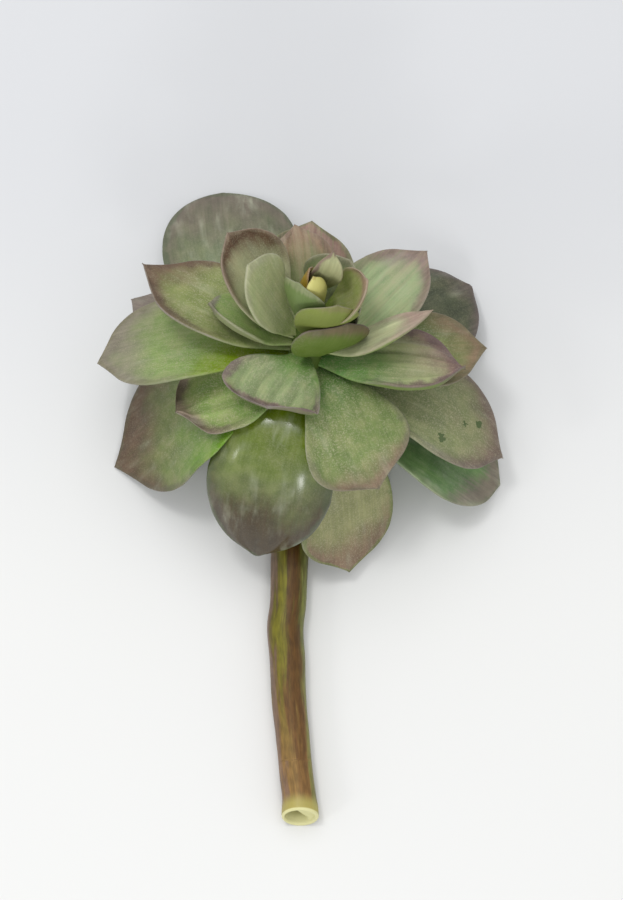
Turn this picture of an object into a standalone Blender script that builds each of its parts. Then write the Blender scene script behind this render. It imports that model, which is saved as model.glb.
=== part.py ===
"""Lipstick echeveria: a cut rosette that lies on its bare stem and on the tips of its lowest leaves.

Blender 4.5, metres, +Z up. The rosette is at +Y, the cut end of the stem at -Y, and both rest on z = 0.
The constants are millimetres and degrees, and each mesh is scaled to metres when it is made.
"""

import math
from typing import NamedTuple, Optional

import bmesh
import bpy
from mathutils import Matrix, Vector

MM = 0.001
COLLECTION_NAME = "lipstick_echeveria"
CUTTER_COLLECTION_NAME = "cutters"

# The rosette's axis leaves the crown's foot tilted toward +Y and leaning a little to +X.
AXIS_TILT = 33.0
AXIS_LEAN = 9.0
CROWN_FOOT = Vector((0.4, 29.1, 30.0))
CROWN_LENGTH = 34.0
CROWN_ROUTE_HEIGHTS = (34.0, 23.0, 11.0, 0.0, -4.0)
CROWN_FOOT_RADIUS = 6.3
CROWN_TOP_RADIUS = 2.4
SEAT_GAP = 0.3

# The middle of the finished plant's box in plan, which becomes the origin.
PLAN_MIDDLE = Vector((0.75, 0.57, 0.0))

# The stem lies along -Y. Each point is x, y and the stem's radius there; the height follows from the radius.
STEM_LYING = (
    (-2.2, -3.0, 5.2),
    (-2.6, -14.0, 5.15),
    (-2.9, -26.0, 5.0),
    (-3.7, -34.0, 5.0),
    (-3.2, -43.0, 4.9),
    (-2.7, -53.0, 4.8),
    (-1.9, -62.0, 4.7),
    (-0.8, -73.0, 4.65),
    (0.1, -80.0, 4.75),
    (0.4, -84.0, 5.15),
    (0.4, -92.0, 5.15),
)
STEM_BEND = ((-0.9, 20.0, 17.2, 5.7), (-1.6, 10.0, 8.6, 5.3))
STEM_FLAT_DEPTH = 0.16
STEM_SIDES = 16
STEM_STEPS = 4
CUT_LIP_TOP = Vector((0.4, -83.4, 10.2))
CUT_ANGLE = 25.0
PITH_RADIUS = 3.3
PITH_DEPTH = 11.0
PITH_CUTTER_LENGTH = 40.0
FLOOR_CUTTER = (400.0, 400.0, 40.0)
CUT_CUTTER = (40.0, 40.0, 60.0)

# A leaf's section is an arc with a full middle and a rim that is still a real edge.
LEAF_SIDES = 14
LEAF_RINGS = 12
ROOT_SHARE = 0.24
POINT_HOLLOW = 1.1
WIDTH_GROWTH = 1.35
ROOT_FULLNESS = 0.62
END_THINNING = 0.62
RIM_FULLNESS = 0.6
ROOT_CUP = 0.35
SMALLEST_HALF_WIDTH = 0.25
MIDRIB_SAMPLES = 96

# The midrib's two inner control points lie this share of its length in from its ends.
HANDLE_SHARE = 0.38
NEAR_SWAY_SHARE = 0.6


class Leaf(NamedTuple):
    """One leaf: where it leaves the crown, where its point is, and how it bends between them."""

    name: str
    height: float
    tip: tuple
    width: float
    thickness: float
    rise: float
    end_rise: float
    cup: float
    roll: float = 0.0
    sway: float = 0.0
    widest: float = 0.6
    blunt: float = 2.0
    round_end: float = 0.965
    azimuth: Optional[float] = None


OUTER_LEAVES = (
    Leaf(
        "outer_leaf_1", 7.2, (-11.5, -14.5, 17.5), 35.0, 3.4, -4, -82, -16,
        roll=-5, sway=-0.5, widest=0.53,
    ),
    Leaf(
        "outer_leaf_2", 0.1, (13.8, -18.2, 6.0), 30.5, 3.0, -25, -50, 12,
        roll=-4, sway=3, widest=0.68, azimuth=-61, round_end=0.95,
    ),
    Leaf(
        "outer_leaf_3", 3.8, (-51.5, 11.5, 0.25), 35.5, 3.0, -7, -37, 10,
        roll=-25, sway=-5.5, widest=0.52, round_end=0.93,
    ),
    Leaf("outer_leaf_4", 14.5, (-54.5, 37.5, 31.0), 32.0, 3.2, 2, -17, 18, sway=-7, round_end=0.93),
    Leaf("outer_leaf_5", 6.6, (-46.5, 57.0, 14.0), 23.0, 2.4, -2, -16, 2, round_end=0.95),
    Leaf(
        "outer_leaf_6", 0.6, (-20.8, 89.3, 0.28), 38.5, 3.0, -17, 5, -8,
        -8, 7, 0.68, 2.7, round_end=0.985,
    ),
    Leaf("outer_leaf_7", 2.0, (48.5, 62.0, 4.5), 34.0, 3.2, -9, -9, -12, roll=12, round_end=0.97),
    Leaf(
        "outer_leaf_8", 8.6, (56.0, 12.5, 15.0), 32.0, 3.2, -9, -36, 12,
        roll=8, sway=4, round_end=0.95,
    ),
    Leaf("outer_leaf_9", -1.6, (56.0, 6.5, 0.65), 32.0, 3.2, -16, -36, 15, roll=15, round_end=0.98),
    Leaf("outer_leaf_10", -1.5, (22.0, 67.0, 0.05), 15.0, 3.0, -17, -9, 0),
)
MIDDLE_LEAVES = (
    Leaf(
        "middle_leaf_1", 18.0, (-42.0, 62.0, 43.8), 27.0, 2.8, 14, 15, 28,
        sway=3, widest=0.53, round_end=0.88,
    ),
    Leaf("middle_leaf_2", 22.4, (-19.0, 67.0, 64.0), 25.0, 2.8, 31, 50, 32, roll=-8, round_end=0.95),
    Leaf("middle_leaf_3", 12.8, (-1.0, 72.0, 48.2), 21.0, 2.8, 15, 28, 15, sway=-1.5, round_end=0.94),
    Leaf("middle_leaf_4", 10.8, (3.5, 74.5, 37.8), 27.0, 2.8, 10, 16, 20, sway=1, round_end=0.94),
    Leaf(
        "middle_leaf_5", 17.4, (34.5, 65.0, 46.0), 26.0, 2.8, 5, 21, 25,
        sway=-6, widest=0.48, round_end=0.93,
    ),
    Leaf("middle_leaf_6", 18.8, (35.5, 47.0, 61.0), 17.0, 2.6, 25, 22, 15, roll=-38, round_end=0.92),
    Leaf(
        "middle_leaf_7", 14.8, (44.5, 33.0, 46.5), 24.5, 2.8, 12, 6, 20,
        roll=-5, sway=-1, round_end=0.92,
    ),
    Leaf(
        "middle_leaf_8", 12.0, (51.0, 40.5, 33.0), 25.5, 3.0, 3, 5, 15,
        roll=8, sway=1, round_end=0.94,
    ),
    Leaf(
        "middle_leaf_9", 13.0, (21.5, 1.5, 40.5), 30.5, 2.6, 4, -22, 12,
        roll=7, sway=0.7, widest=0.5, blunt=1.6, round_end=0.91,
    ),
    Leaf(
        "middle_leaf_10", 18.4, (-8.0, 21.3, 51.5), 32.0, 2.6, 24, 2, 22,
        roll=15, widest=0.76, blunt=2.6, azimuth=-110,
    ),
    Leaf(
        "middle_leaf_11", 10.0, (-34.0, 24.5, 34.0), 25.0, 2.4, 5, -2, 12,
        sway=1, widest=0.4, azimuth=-152, round_end=0.95,
    ),
    Leaf("middle_leaf_12", 20.6, (-24.0, 49.5, 54.4), 18.0, 2.6, 22, 25, 25, roll=35),
)
INNER_LEAVES = (
    Leaf("inner_leaf_1", 25.0, (-11.0, 58.5, 70.0), 18.0, 2.6, 44, 62, 38, round_end=0.95),
    Leaf("inner_leaf_2", 31.5, (-0.2, 51.5, 75.5), 11.0, 1.8, 76, 98, 50, azimuth=232),
    Leaf("inner_leaf_3", 33.2, (9.0, 59.5, 79.0), 10.0, 1.8, 56, 74, 45, azimuth=85, round_end=0.94),
    Leaf("inner_leaf_4", 24.4, (14.0, 59.5, 66.0), 18.0, 2.2, 31, 72, 38, azimuth=42),
    Leaf("inner_leaf_5", 31.8, (17.6, 54.2, 75.5), 10.0, 1.8, 54, 82, 45, azimuth=12),
    Leaf("inner_leaf_6", 27.4, (8.2, 46.4, 74.8), 14.5, 1.8, 74, 98, 50, azimuth=-84),
    Leaf("inner_leaf_7", 21.0, (12.0, 42.2, 66.0), 21.0, 2.2, 62, 98, 50, widest=0.45, azimuth=-72),
)
HEART_HEIGHT = 36.3
HEART_RADIUS = 3.3
HEART_DEPTH = 1.9
HEART_LEAVES = (
    Leaf("heart_front", 36.0, (4.4, 52.5, 71.0), 5.0, 2.2, 84, 92, 40, azimuth=250),
    Leaf("heart_left", 36.0, (2.6, 53.8, 72.6), 5.0, 1.4, 82, 92, 50, azimuth=150),
    Leaf("heart_right", 36.0, (9.0, 51.0, 72.0), 5.5, 1.4, 68, 90, 50, azimuth=-25),
)


def rosette_axis():
    """The unit vector up the crown."""
    tilt = math.radians(AXIS_TILT)
    lean = math.radians(AXIS_LEAN)
    return Vector((math.sin(tilt) * math.sin(lean), math.sin(tilt) * math.cos(lean), math.cos(tilt)))


AXIS = rosette_axis()


def crown_radius(height):
    """The crown's radius at a height along the axis."""
    share = min(max(height / CROWN_LENGTH, 0.0), 1.0)
    return CROWN_FOOT_RADIUS + (CROWN_TOP_RADIUS - CROWN_FOOT_RADIUS) * share


def material(name, colour, roughness):
    """A plain Principled material."""
    made = bpy.data.materials.new(name)
    made.use_nodes = True
    shader = made.node_tree.nodes["Principled BSDF"]
    shader.inputs["Base Color"].default_value = (*colour, 1.0)
    shader.inputs["Roughness"].default_value = roughness
    shader.inputs["Metallic"].default_value = 0.0
    made.diffuse_color = (*colour, 1.0)
    return made


def collection(name):
    """A new collection in the scene."""
    made = bpy.data.collections.new(name)
    bpy.context.scene.collection.children.link(made)
    return made


def add_mesh(name, mesh, home, finish):
    """An object in a collection, turned from millimetres in plan to metres about the origin."""
    mesh.transform(Matrix.Scale(MM, 4) @ Matrix.Translation(-PLAN_MIDDLE))
    mesh.materials.clear()
    mesh.materials.append(finish)
    made = bpy.data.objects.new(name, mesh)
    home.objects.link(made)
    return made


def leaf_bearing(leaf):
    """The direction across the axis in which a leaf leaves the crown."""
    if leaf.azimuth is None:
        reach = Vector(leaf.tip) - (CROWN_FOOT + AXIS * leaf.height)
        return (reach - AXIS * reach.dot(AXIS)).normalized()
    across = (Vector((1.0, 0.0, 0.0)) - AXIS * AXIS.x).normalized()
    turn = math.radians(leaf.azimuth)
    return across * math.cos(turn) + AXIS.cross(across) * math.sin(turn)


def seated(point):
    """A root's point moved along its radius to lie just off the crown's surface."""
    height = (point - CROWN_FOOT).dot(AXIS)
    centre = CROWN_FOOT + AXIS * height
    return centre + (point - centre).normalized() * (crown_radius(height) + SEAT_GAP)


class Midrib:
    """A leaf's curved middle line, read by share of its length, with a frame at each place."""

    def __init__(self, leaf):
        self.leaf = leaf
        out = leaf_bearing(leaf)
        self.side = AXIS.cross(out)
        root = seated(CROWN_FOOT + AXIS * leaf.height + out)
        tip = Vector(leaf.tip)
        handle = HANDLE_SHARE * (tip - root).length
        rise = math.radians(leaf.rise)
        end = math.radians(leaf.end_rise)
        start_way = out * math.cos(rise) + AXIS * math.sin(rise)
        end_way = out * math.cos(end) + AXIS * math.sin(end)
        self.up = AXIS * math.cos(rise) - out * math.sin(rise)
        near = root + start_way * handle + self.side * (NEAR_SWAY_SHARE * leaf.sway)
        far = tip - end_way * handle + self.side * leaf.sway
        self.points = (root, near, far, tip)
        self.lengths = [0.0]
        last = root
        for step in range(1, MIDRIB_SAMPLES + 1):
            here = self.at(step / MIDRIB_SAMPLES)
            self.lengths.append(self.lengths[-1] + (here - last).length)
            last = here

    def at(self, u):
        """The curve's point at its own parameter."""
        a, b, c, d = self.points
        v = 1.0 - u
        return a * v**3 + b * (3 * v * v * u) + c * (3 * v * u * u) + d * u**3

    def way(self, u):
        """The curve's direction at its own parameter."""
        a, b, c, d = self.points
        v = 1.0 - u
        return ((b - a) * (v * v) + (c - b) * (2 * v * u) + (d - c) * (u * u)).normalized()

    def frame(self, share):
        """Place, direction, side and upper-face normal at a share of the leaf's length."""
        wanted = share * self.lengths[-1]
        step = 1
        while step < MIDRIB_SAMPLES and self.lengths[step] < wanted:
            step += 1
        before = self.lengths[step - 1]
        u = (step - 1 + (wanted - before) / max(self.lengths[step] - before, 1e-9)) / MIDRIB_SAMPLES
        way = self.way(u)
        side = (self.side - way * self.side.dot(way)).normalized()
        normal = way.cross(side)
        if normal.dot(self.up) < 0.0:
            normal.negate()
        twist = Matrix.Rotation(math.radians(self.leaf.roll) * share * share * (3.0 - 2.0 * share), 3, way)
        return self.at(u), way, twist @ side, twist @ normal


def half_width(leaf, share):
    """Half the leaf's width: a narrow root, its widest place, and a round end drawn out to a point."""
    if share < leaf.widest:
        growth = math.sin(0.5 * math.pi * share / leaf.widest) ** WIDTH_GROWTH
        outline = ROOT_SHARE + (1.0 - ROOT_SHARE) * growth
    else:
        past = (share - leaf.widest) / (leaf.round_end - leaf.widest)
        reach = (1.0 - leaf.widest) / (leaf.round_end - leaf.widest)
        turning = 1.0 / reach
        outline = math.sqrt(1.0 - min(past, turning) ** leaf.blunt)
        if past > turning:
            outline *= ((reach - past) / (reach - turning)) ** POINT_HOLLOW
    return 0.5 * leaf.width * outline


def half_thickness(leaf, share):
    """Half the leaf's thickness on its midrib, full in the middle and thin at the end."""
    if share < 0.6:
        fullness = ROOT_FULLNESS + (1.0 - ROOT_FULLNESS) * math.sin(0.5 * math.pi * min(share / 0.45, 1.0))
    else:
        fullness = 1.0 - END_THINNING * ((share - 0.6) / 0.4) ** 1.5
    return 0.5 * leaf.thickness * fullness


def leaf_mesh(leaf):
    """A sphere whose poles become the root and the point of the leaf, and whose rings its sections."""
    midrib = Midrib(leaf)
    work = bmesh.new()
    bmesh.ops.create_uvsphere(work, u_segments=LEAF_SIDES, v_segments=LEAF_RINGS, radius=1.0)
    root_share = 1.0 / LEAF_RINGS
    for vert in work.verts:
        along = math.acos(max(-1.0, min(1.0, -vert.co.z))) / math.pi
        turn = math.atan2(vert.co.y, vert.co.x)
        opening = math.sin(0.5 * math.pi * min(along / root_share, 1.0))
        share = math.sin(0.5 * math.pi * max(along - root_share, 0.0) / (1.0 - root_share))
        place, _, side, normal = midrib.frame(share)
        if along > 0.999:
            vert.co = place
            continue
        half = max(half_width(leaf, share), SMALLEST_HALF_WIDTH)
        depth = min(half_thickness(leaf, share), 0.6 * half)
        opened = ROOT_CUP + (1.0 - ROOT_CUP) * math.sin(0.5 * math.pi * min(2.0 * share, 1.0))
        bend = math.radians(leaf.cup) * opened * 2.0 * half / leaf.width
        across = math.cos(turn) * opening
        lift = math.copysign(abs(math.sin(turn)) ** RIM_FULLNESS, math.sin(turn)) * depth * opening
        angle = bend * across
        if abs(bend) < 1e-4:
            x, z = half * across, 0.0
        else:
            x = half / bend * math.sin(angle)
            z = half / bend * (1.0 - math.cos(angle))
        x -= lift * math.sin(angle)
        z += lift * math.cos(angle)
        vert.co = place + side * x + normal * z
        if along < 1.5 * root_share:
            vert.co = seated(vert.co)
    if work.calc_volume(signed=True) < 0.0:
        bmesh.ops.reverse_faces(work, faces=work.faces)
    mesh = bpy.data.meshes.new(leaf.name)
    work.to_mesh(mesh)
    work.free()
    return mesh


def smooth_route(points, steps):
    """A Catmull-Rom curve through points of four numbers: place and radius."""
    ends = [points[0] * 2 - points[1], *points, points[-1] * 2 - points[-2]]
    route = []
    for a, b, c, d in zip(ends, ends[1:], ends[2:], ends[3:]):
        for step in range(steps):
            u = step / steps
            second = (a * 2 - b * 5 + c * 4 - d) * u**2
            third = (b * 3 - a - c * 3 + d) * u**3
            route.append(0.5 * (b * 2 + (c - a) * u + second + third))
    route.append(points[-1])
    return route


def lying_point(place):
    """A point of the lying stretch with its height, as x, y, z and radius."""
    x, y, radius = place
    return Vector((x, y, radius - STEM_FLAT_DEPTH, radius))


def stem_route():
    """The stem's middle line from the crown's top, down its axis and along the surface to past the cut."""
    points = []
    for height in CROWN_ROUTE_HEIGHTS:
        points.append(Vector((*(CROWN_FOOT + AXIS * height), crown_radius(height))))
    points.extend(Vector(bend) for bend in STEM_BEND)
    points.extend(lying_point(place) for place in STEM_LYING)
    return smooth_route(points, STEM_STEPS)


def stem_mesh():
    """The stem and crown as one round-sided mesh, before it is cut."""
    curve = bpy.data.curves.new("stem_route", "CURVE")
    curve.dimensions = "3D"
    curve.bevel_depth = 1.0
    curve.bevel_resolution = STEM_SIDES // 2 - 2
    curve.use_fill_caps = True
    spline = curve.splines.new("POLY")
    route = stem_route()
    spline.points.add(len(route) - 1)
    for point, place in zip(spline.points, route):
        point.co = (place.x, place.y, place.z, 1.0)
        point.radius = place.w
    carrier = bpy.data.objects.new("stem_route", curve)
    bpy.context.scene.collection.objects.link(carrier)
    evaluated = carrier.evaluated_get(bpy.context.evaluated_depsgraph_get())
    mesh = bpy.data.meshes.new_from_object(evaluated)
    bpy.data.objects.remove(carrier)
    work = bmesh.new()
    work.from_mesh(mesh)
    bmesh.ops.remove_doubles(work, verts=work.verts, dist=0.0001)
    bmesh.ops.recalc_face_normals(work, faces=work.faces)
    work.to_mesh(mesh)
    work.free()
    return mesh


def cutter_mesh(name, kind, matrix, **sizes):
    """A primitive placed by a matrix, as a cutter's mesh."""
    work = bmesh.new()
    kind(work, matrix=matrix, **sizes)
    mesh = bpy.data.meshes.new(name)
    work.to_mesh(mesh)
    work.free()
    return mesh


def cut(target, cutter):
    """Take a cutter away from an object with a live Boolean, and hide the cutter."""
    cutter.hide_render = True
    cutter.display_type = "WIRE"
    modifier = target.modifiers.new("cut_" + cutter.name, "BOOLEAN")
    modifier.operation = "DIFFERENCE"
    modifier.solver = "EXACT"
    modifier.object = cutter


def build_stem(home, cutters, finish):
    """The stem with its flat underside, its slanted cut and the hollow pith in it."""
    stem = add_mesh("stem", stem_mesh(), home, finish)
    below = Matrix.Translation((0.0, 0.0, -0.5 * FLOOR_CUTTER[2]))
    floor_box = below @ Matrix.Diagonal((*FLOOR_CUTTER, 1.0))
    slant = Matrix.Translation(CUT_LIP_TOP) @ Matrix.Rotation(math.radians(-CUT_ANGLE), 4, "X")
    outward = Matrix.Translation((0.0, -0.5 * CUT_CUTTER[1], 0.0))
    end_box = slant @ outward @ Matrix.Diagonal((*CUT_CUTTER, 1.0))
    mouth = lying_point(STEM_LYING[-2]).xyz
    way_out = (mouth - lying_point(STEM_LYING[-4]).xyz).normalized()
    pith_middle = mouth + way_out * (0.5 * PITH_CUTTER_LENGTH - PITH_DEPTH)
    pith_axis = Matrix.Translation(pith_middle) @ way_out.to_track_quat("Z", "Y").to_matrix().to_4x4()
    shapes = (
        ("surface", bmesh.ops.create_cube, floor_box, {"size": 1.0}),
        ("slanted_cut", bmesh.ops.create_cube, end_box, {"size": 1.0}),
        (
            "pith",
            bmesh.ops.create_cone,
            pith_axis,
            {
                "cap_ends": True,
                "segments": STEM_SIDES,
                "radius1": PITH_RADIUS,
                "radius2": PITH_RADIUS,
                "depth": PITH_CUTTER_LENGTH,
            },
        ),
    )
    for name, kind, matrix, sizes in shapes:
        cut(stem, add_mesh(name, cutter_mesh(name, kind, matrix, **sizes), cutters, finish))


def heart_core_mesh():
    """The blunt growing tip at the crown's top, which the youngest leaves stand on."""
    up = AXIS.to_track_quat("Z", "Y").to_matrix().to_4x4()
    size = Matrix.Diagonal((HEART_RADIUS, HEART_RADIUS, HEART_DEPTH, 1.0))
    work = bmesh.new()
    place = Matrix.Translation(CROWN_FOOT + AXIS * HEART_HEIGHT) @ up @ size
    bmesh.ops.create_uvsphere(work, u_segments=LEAF_SIDES, v_segments=6, radius=1.0, matrix=place)
    mesh = bpy.data.meshes.new("heart")
    work.to_mesh(mesh)
    work.free()
    return mesh


def build_heart(home, cutters, finish):
    """The youngest leaves, grown together with the growing tip."""
    heart = add_mesh("heart", heart_core_mesh(), home, finish)
    for leaf in HEART_LEAVES:
        other = add_mesh(leaf.name, leaf_mesh(leaf), cutters, finish)
        other.hide_render = True
        other.display_type = "WIRE"
        modifier = heart.modifiers.new("join_" + leaf.name, "BOOLEAN")
        modifier.operation = "UNION"
        modifier.solver = "EXACT"
        modifier.object = other


def main():
    for old in list(bpy.data.objects):
        bpy.data.objects.remove(old)
    home = collection(COLLECTION_NAME)
    cutters = collection(CUTTER_COLLECTION_NAME)
    build_stem(home, cutters, material("stem_bark", (0.16, 0.13, 0.04), 0.45))
    tiers = (
        (OUTER_LEAVES, material("outer_leaf", (0.13, 0.17, 0.07), 0.4)),
        (MIDDLE_LEAVES, material("middle_leaf", (0.19, 0.24, 0.11), 0.65)),
        (INNER_LEAVES, material("inner_leaf", (0.22, 0.27, 0.12), 0.65)),
    )
    for leaves, finish in tiers:
        for leaf in leaves:
            add_mesh(leaf.name, leaf_mesh(leaf), home, finish)
    build_heart(home, cutters, material("heart", (0.3, 0.32, 0.12), 0.6))


main()
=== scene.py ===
# %% [markdown]
# # Lipstick echeveria, cut and laid down
#
# The subject is one cut rosette: a crown on a bare, bent stem, with fleshy leaves in tiers around
# it. It lies on a pale surface and is seen from almost straight above. The solids come from the
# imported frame. This script grows a finer skin over each of them, so every piece here lies where
# its solid does and replaces it.

import math
from typing import NamedTuple, Optional

import bmesh
import bpy
from mathutils import Matrix, Vector, noise


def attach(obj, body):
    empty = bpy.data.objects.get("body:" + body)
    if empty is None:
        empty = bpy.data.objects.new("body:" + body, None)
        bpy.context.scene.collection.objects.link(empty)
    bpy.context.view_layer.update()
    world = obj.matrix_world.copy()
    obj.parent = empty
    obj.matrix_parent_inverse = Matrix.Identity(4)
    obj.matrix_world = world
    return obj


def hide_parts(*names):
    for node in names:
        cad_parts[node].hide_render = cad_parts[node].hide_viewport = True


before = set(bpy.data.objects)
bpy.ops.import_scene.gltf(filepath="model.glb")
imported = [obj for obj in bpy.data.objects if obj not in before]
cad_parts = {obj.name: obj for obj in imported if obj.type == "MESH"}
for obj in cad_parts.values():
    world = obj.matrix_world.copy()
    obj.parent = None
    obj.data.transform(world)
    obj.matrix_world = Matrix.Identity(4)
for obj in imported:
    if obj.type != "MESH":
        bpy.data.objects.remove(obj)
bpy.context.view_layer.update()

# %% [markdown]
# ## Real sizes
#
# Everything is measured in millimetres in a plan whose X runs right and whose Y runs from the cut
# end of the stem toward the rosette. One helper takes a finished mesh from there to metres about
# the frame's origin, so the numbers below can be read as sizes of the real plant.

# %% Sizes of the crown and of a leaf's seat on it
MM = 0.001
PLAN_MIDDLE = Vector((0.75, 0.57, 0.0))
AXIS_TILT = math.radians(33.0)
AXIS_LEAN = math.radians(9.0)
AXIS = Vector(
    (
        math.sin(AXIS_TILT) * math.sin(AXIS_LEAN),
        math.sin(AXIS_TILT) * math.cos(AXIS_LEAN),
        math.cos(AXIS_TILT),
    )
)
CROWN_FOOT = Vector((0.4, 29.1, 30.0))
CROWN_LENGTH = 34.0
CROWN_FOOT_RADIUS = 6.3
CROWN_TOP_RADIUS = 2.4
ROOT_SINK = 0.5
ROOT_GAP = 0.3
print("the crown leans along", [round(v, 3) for v in AXIS])


def crown_radius(height):
    """The crown's radius at a height along its axis."""
    share = min(max(height / CROWN_LENGTH, 0.0), 1.0)
    return CROWN_FOOT_RADIUS + (CROWN_TOP_RADIUS - CROWN_FOOT_RADIUS) * share


def smooth_step(low, high, value):
    """0 below low, 1 above high, and an even curve between them."""
    share = min(max((value - low) / (high - low), 0.0), 1.0)
    return share * share * (3.0 - 2.0 * share)

# %% [markdown]
# ## Thirty-one leaves from one description
#
# A rosette leaf is a flat tongue of flesh, narrow where it leaves the crown and broadest past its
# middle, with a round end and a tiny point. Each could be sculpted, but one description with a few
# numbers gives every leaf: the height it leaves the crown at, the place of its point, its width
# and thickness, the slopes it starts and ends with, and how far its sides curl up. The solids were
# made from the same description, but about half the leaves were tuned further here, so they are
# wider, narrower or bent otherwise than their solids, by up to 8 mm.

# %% The leaf's description and the outer tier
class Leaf(NamedTuple):
    """One leaf: where it leaves the crown, where its point is, and how it bends between them."""

    name: str
    height: float
    tip: tuple
    width: float
    thickness: float
    rise: float
    end_rise: float
    cup: float
    roll: float = 0.0
    sway: float = 0.0
    widest: float = 0.6
    blunt: float = 2.0
    round_end: float = 0.965
    azimuth: Optional[float] = None


LEAVES = [
    Leaf(
        "outer_leaf_1", 7.2, (-11.5, -14.5, 17.5), 35.0, 3.4, -4, -82, -16,
        roll=-5, sway=-0.5, widest=0.53,
    ),
    Leaf(
        "outer_leaf_2", 0.1, (13.8, -18.2, 6.0), 30.5, 3.0, -25, -50, 12,
        roll=-4, sway=3, widest=0.68, azimuth=-61, round_end=0.95,
    ),
    Leaf(
        "outer_leaf_3", 3.8, (-51.5, 11.5, 0.25), 43.5, 3.0, -7, -37, 10,
        roll=-25, sway=-2.6, widest=0.32, blunt=2.4, round_end=0.93,
    ),
    Leaf(
        "outer_leaf_4", 14.5, (-54.5, 36.5, 31.0), 32.0, 3.2, 2, -17, 18,
        sway=-6.2, blunt=2.3, round_end=0.95,
    ),
    Leaf("outer_leaf_5", 6.6, (-46.5, 57.0, 14.0), 23.0, 2.4, -2, -16, 2, round_end=0.95),
    Leaf(
        "outer_leaf_6", 0.6, (-20.8, 89.3, 0.28), 38.5, 3.0, -17, 5, -8,
        roll=-8, sway=7, widest=0.68, blunt=2.7, round_end=0.996,
    ),
    Leaf("outer_leaf_7", 2.0, (48.5, 62.0, 4.5), 34.0, 3.2, -9, -9, -12, roll=12, round_end=0.97),
    Leaf(
        "outer_leaf_8", 8.6, (56.0, 12.5, 15.0), 32.0, 3.2, -9, -36, 12,
        roll=8, sway=4, round_end=0.95,
    ),
    Leaf("outer_leaf_9", -1.6, (56.0, 6.5, 0.65), 32.0, 3.2, -16, -36, 15, roll=15, round_end=0.98),
    Leaf("outer_leaf_10", -1.5, (22.0, 67.0, 0.05), 15.0, 3.0, -17, -9, 0),
]
print("outer leaves:", len(LEAVES))

# %% The middle tier
LEAVES += [
    Leaf(
        "middle_leaf_1", 18.0, (-42.0, 62.0, 43.8), 27.0, 2.8, 14, 15, 28,
        sway=3, widest=0.53, round_end=0.88,
    ),
    Leaf("middle_leaf_2", 22.4, (-19.0, 67.0, 64.0), 25.0, 2.8, 31, 50, 32, roll=-8, round_end=0.95),
    Leaf("middle_leaf_3", 12.8, (-1.0, 72.0, 48.2), 21.0, 2.8, 15, 28, 15, sway=-1.5, round_end=0.94),
    Leaf("middle_leaf_4", 10.8, (3.5, 74.5, 37.8), 27.0, 2.8, 10, 16, 20, sway=1, round_end=0.94),
    Leaf(
        "middle_leaf_5", 17.4, (34.5, 65.0, 46.0), 26.0, 2.8, 5, 21, 25,
        roll=8, sway=-2.5, widest=0.48, round_end=0.93,
    ),
    Leaf(
        "middle_leaf_6", 18.8, (35.5, 47.0, 60.0), 11.5, 2.6, 25, 22, 15,
        roll=-18, sway=-5.5, round_end=0.92,
    ),
    Leaf(
        "middle_leaf_7", 14.8, (44.5, 33.0, 46.5), 24.5, 2.8, 12, 6, 20,
        roll=-5, sway=-1, round_end=0.92,
    ),
    Leaf(
        "middle_leaf_8", 12.0, (51.0, 40.5, 33.0), 25.5, 3.0, 3, 5, 15,
        roll=8, sway=1, round_end=0.94,
    ),
    Leaf(
        "middle_leaf_9", 13.0, (21.5, 1.5, 40.5), 32.0, 2.6, 4, -22, 12,
        roll=7, sway=-0.6, widest=0.64, blunt=2.1, round_end=0.93,
    ),
    Leaf(
        "middle_leaf_10", 18.4, (-8.0, 21.3, 51.5), 32.0, 2.6, 24, 2, 22,
        roll=15, widest=0.76, blunt=2.6, azimuth=-110,
    ),
    Leaf(
        "middle_leaf_11", 10.0, (-33.2, 22.2, 34.0), 26.0, 2.4, 5, -2, 12,
        sway=-1, widest=0.4, blunt=2.8, azimuth=-152, round_end=0.95,
    ),
    Leaf("middle_leaf_12", 20.6, (-24.0, 49.5, 54.4), 18.0, 2.6, 22, 25, 25, roll=20),
]
print("outer and middle leaves:", len(LEAVES))

# %% The inner tier and the two youngest leaves, in the heart
LEAVES += [
    Leaf("inner_leaf_1", 25.0, (-13.3, 57.6, 70.0), 22.0, 2.6, 44, 62, 22, roll=-16, round_end=0.95),
    Leaf("inner_leaf_2", 31.5, (0.4, 51.9, 75.2), 15.0, 1.8, 76, 98, 50, azimuth=232),
    Leaf("inner_leaf_3", 33.2, (9.0, 59.5, 79.0), 9.5, 1.8, 56, 74, 45, azimuth=85, round_end=0.94),
    Leaf("inner_leaf_4", 24.4, (14.0, 59.5, 66.0), 24.0, 2.2, 31, 72, 38, azimuth=42),
    Leaf("inner_leaf_5", 31.8, (18.0, 53.0, 75.3), 17.0, 1.8, 40, 82, 45, azimuth=6),
    Leaf("inner_leaf_6", 27.4, (10.2, 46.2, 74.8), 17.5, 1.8, 74, 98, 32, azimuth=-84),
    Leaf("inner_leaf_7", 21.0, (12.8, 42.8, 66.2), 23.0, 2.2, 50, 102, 30, widest=0.45, azimuth=-72),
]
HEART_LEAVES = [
    Leaf("heart_front", 36.0, (3.9, 53.6, 75.6), 7.5, 1.6, 90, 122, 45, azimuth=-50),
    Leaf("heart_amber", 36.0, (3.1, 55.8, 74.5), 8.0, 1.4, 76, 100, 55, azimuth=165),
]
print("leaves:", len(LEAVES), "and", len(HEART_LEAVES), "in the heart")

# %% [markdown]
# ## The midrib
#
# A leaf's middle line is a single smooth bend, so a cubic Bezier curve fits it: it leaves the
# crown at the first slope and reaches the point at the second. Reading the curve by its length,
# and not by its own parameter, keeps the leaf's rings evenly spaced however it bends.

# %% A midrib that gives a place and a frame at any share of its length
HANDLE_SHARE = 0.38
NEAR_SWAY_SHARE = 0.6
MIDRIB_SAMPLES = 96


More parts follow.
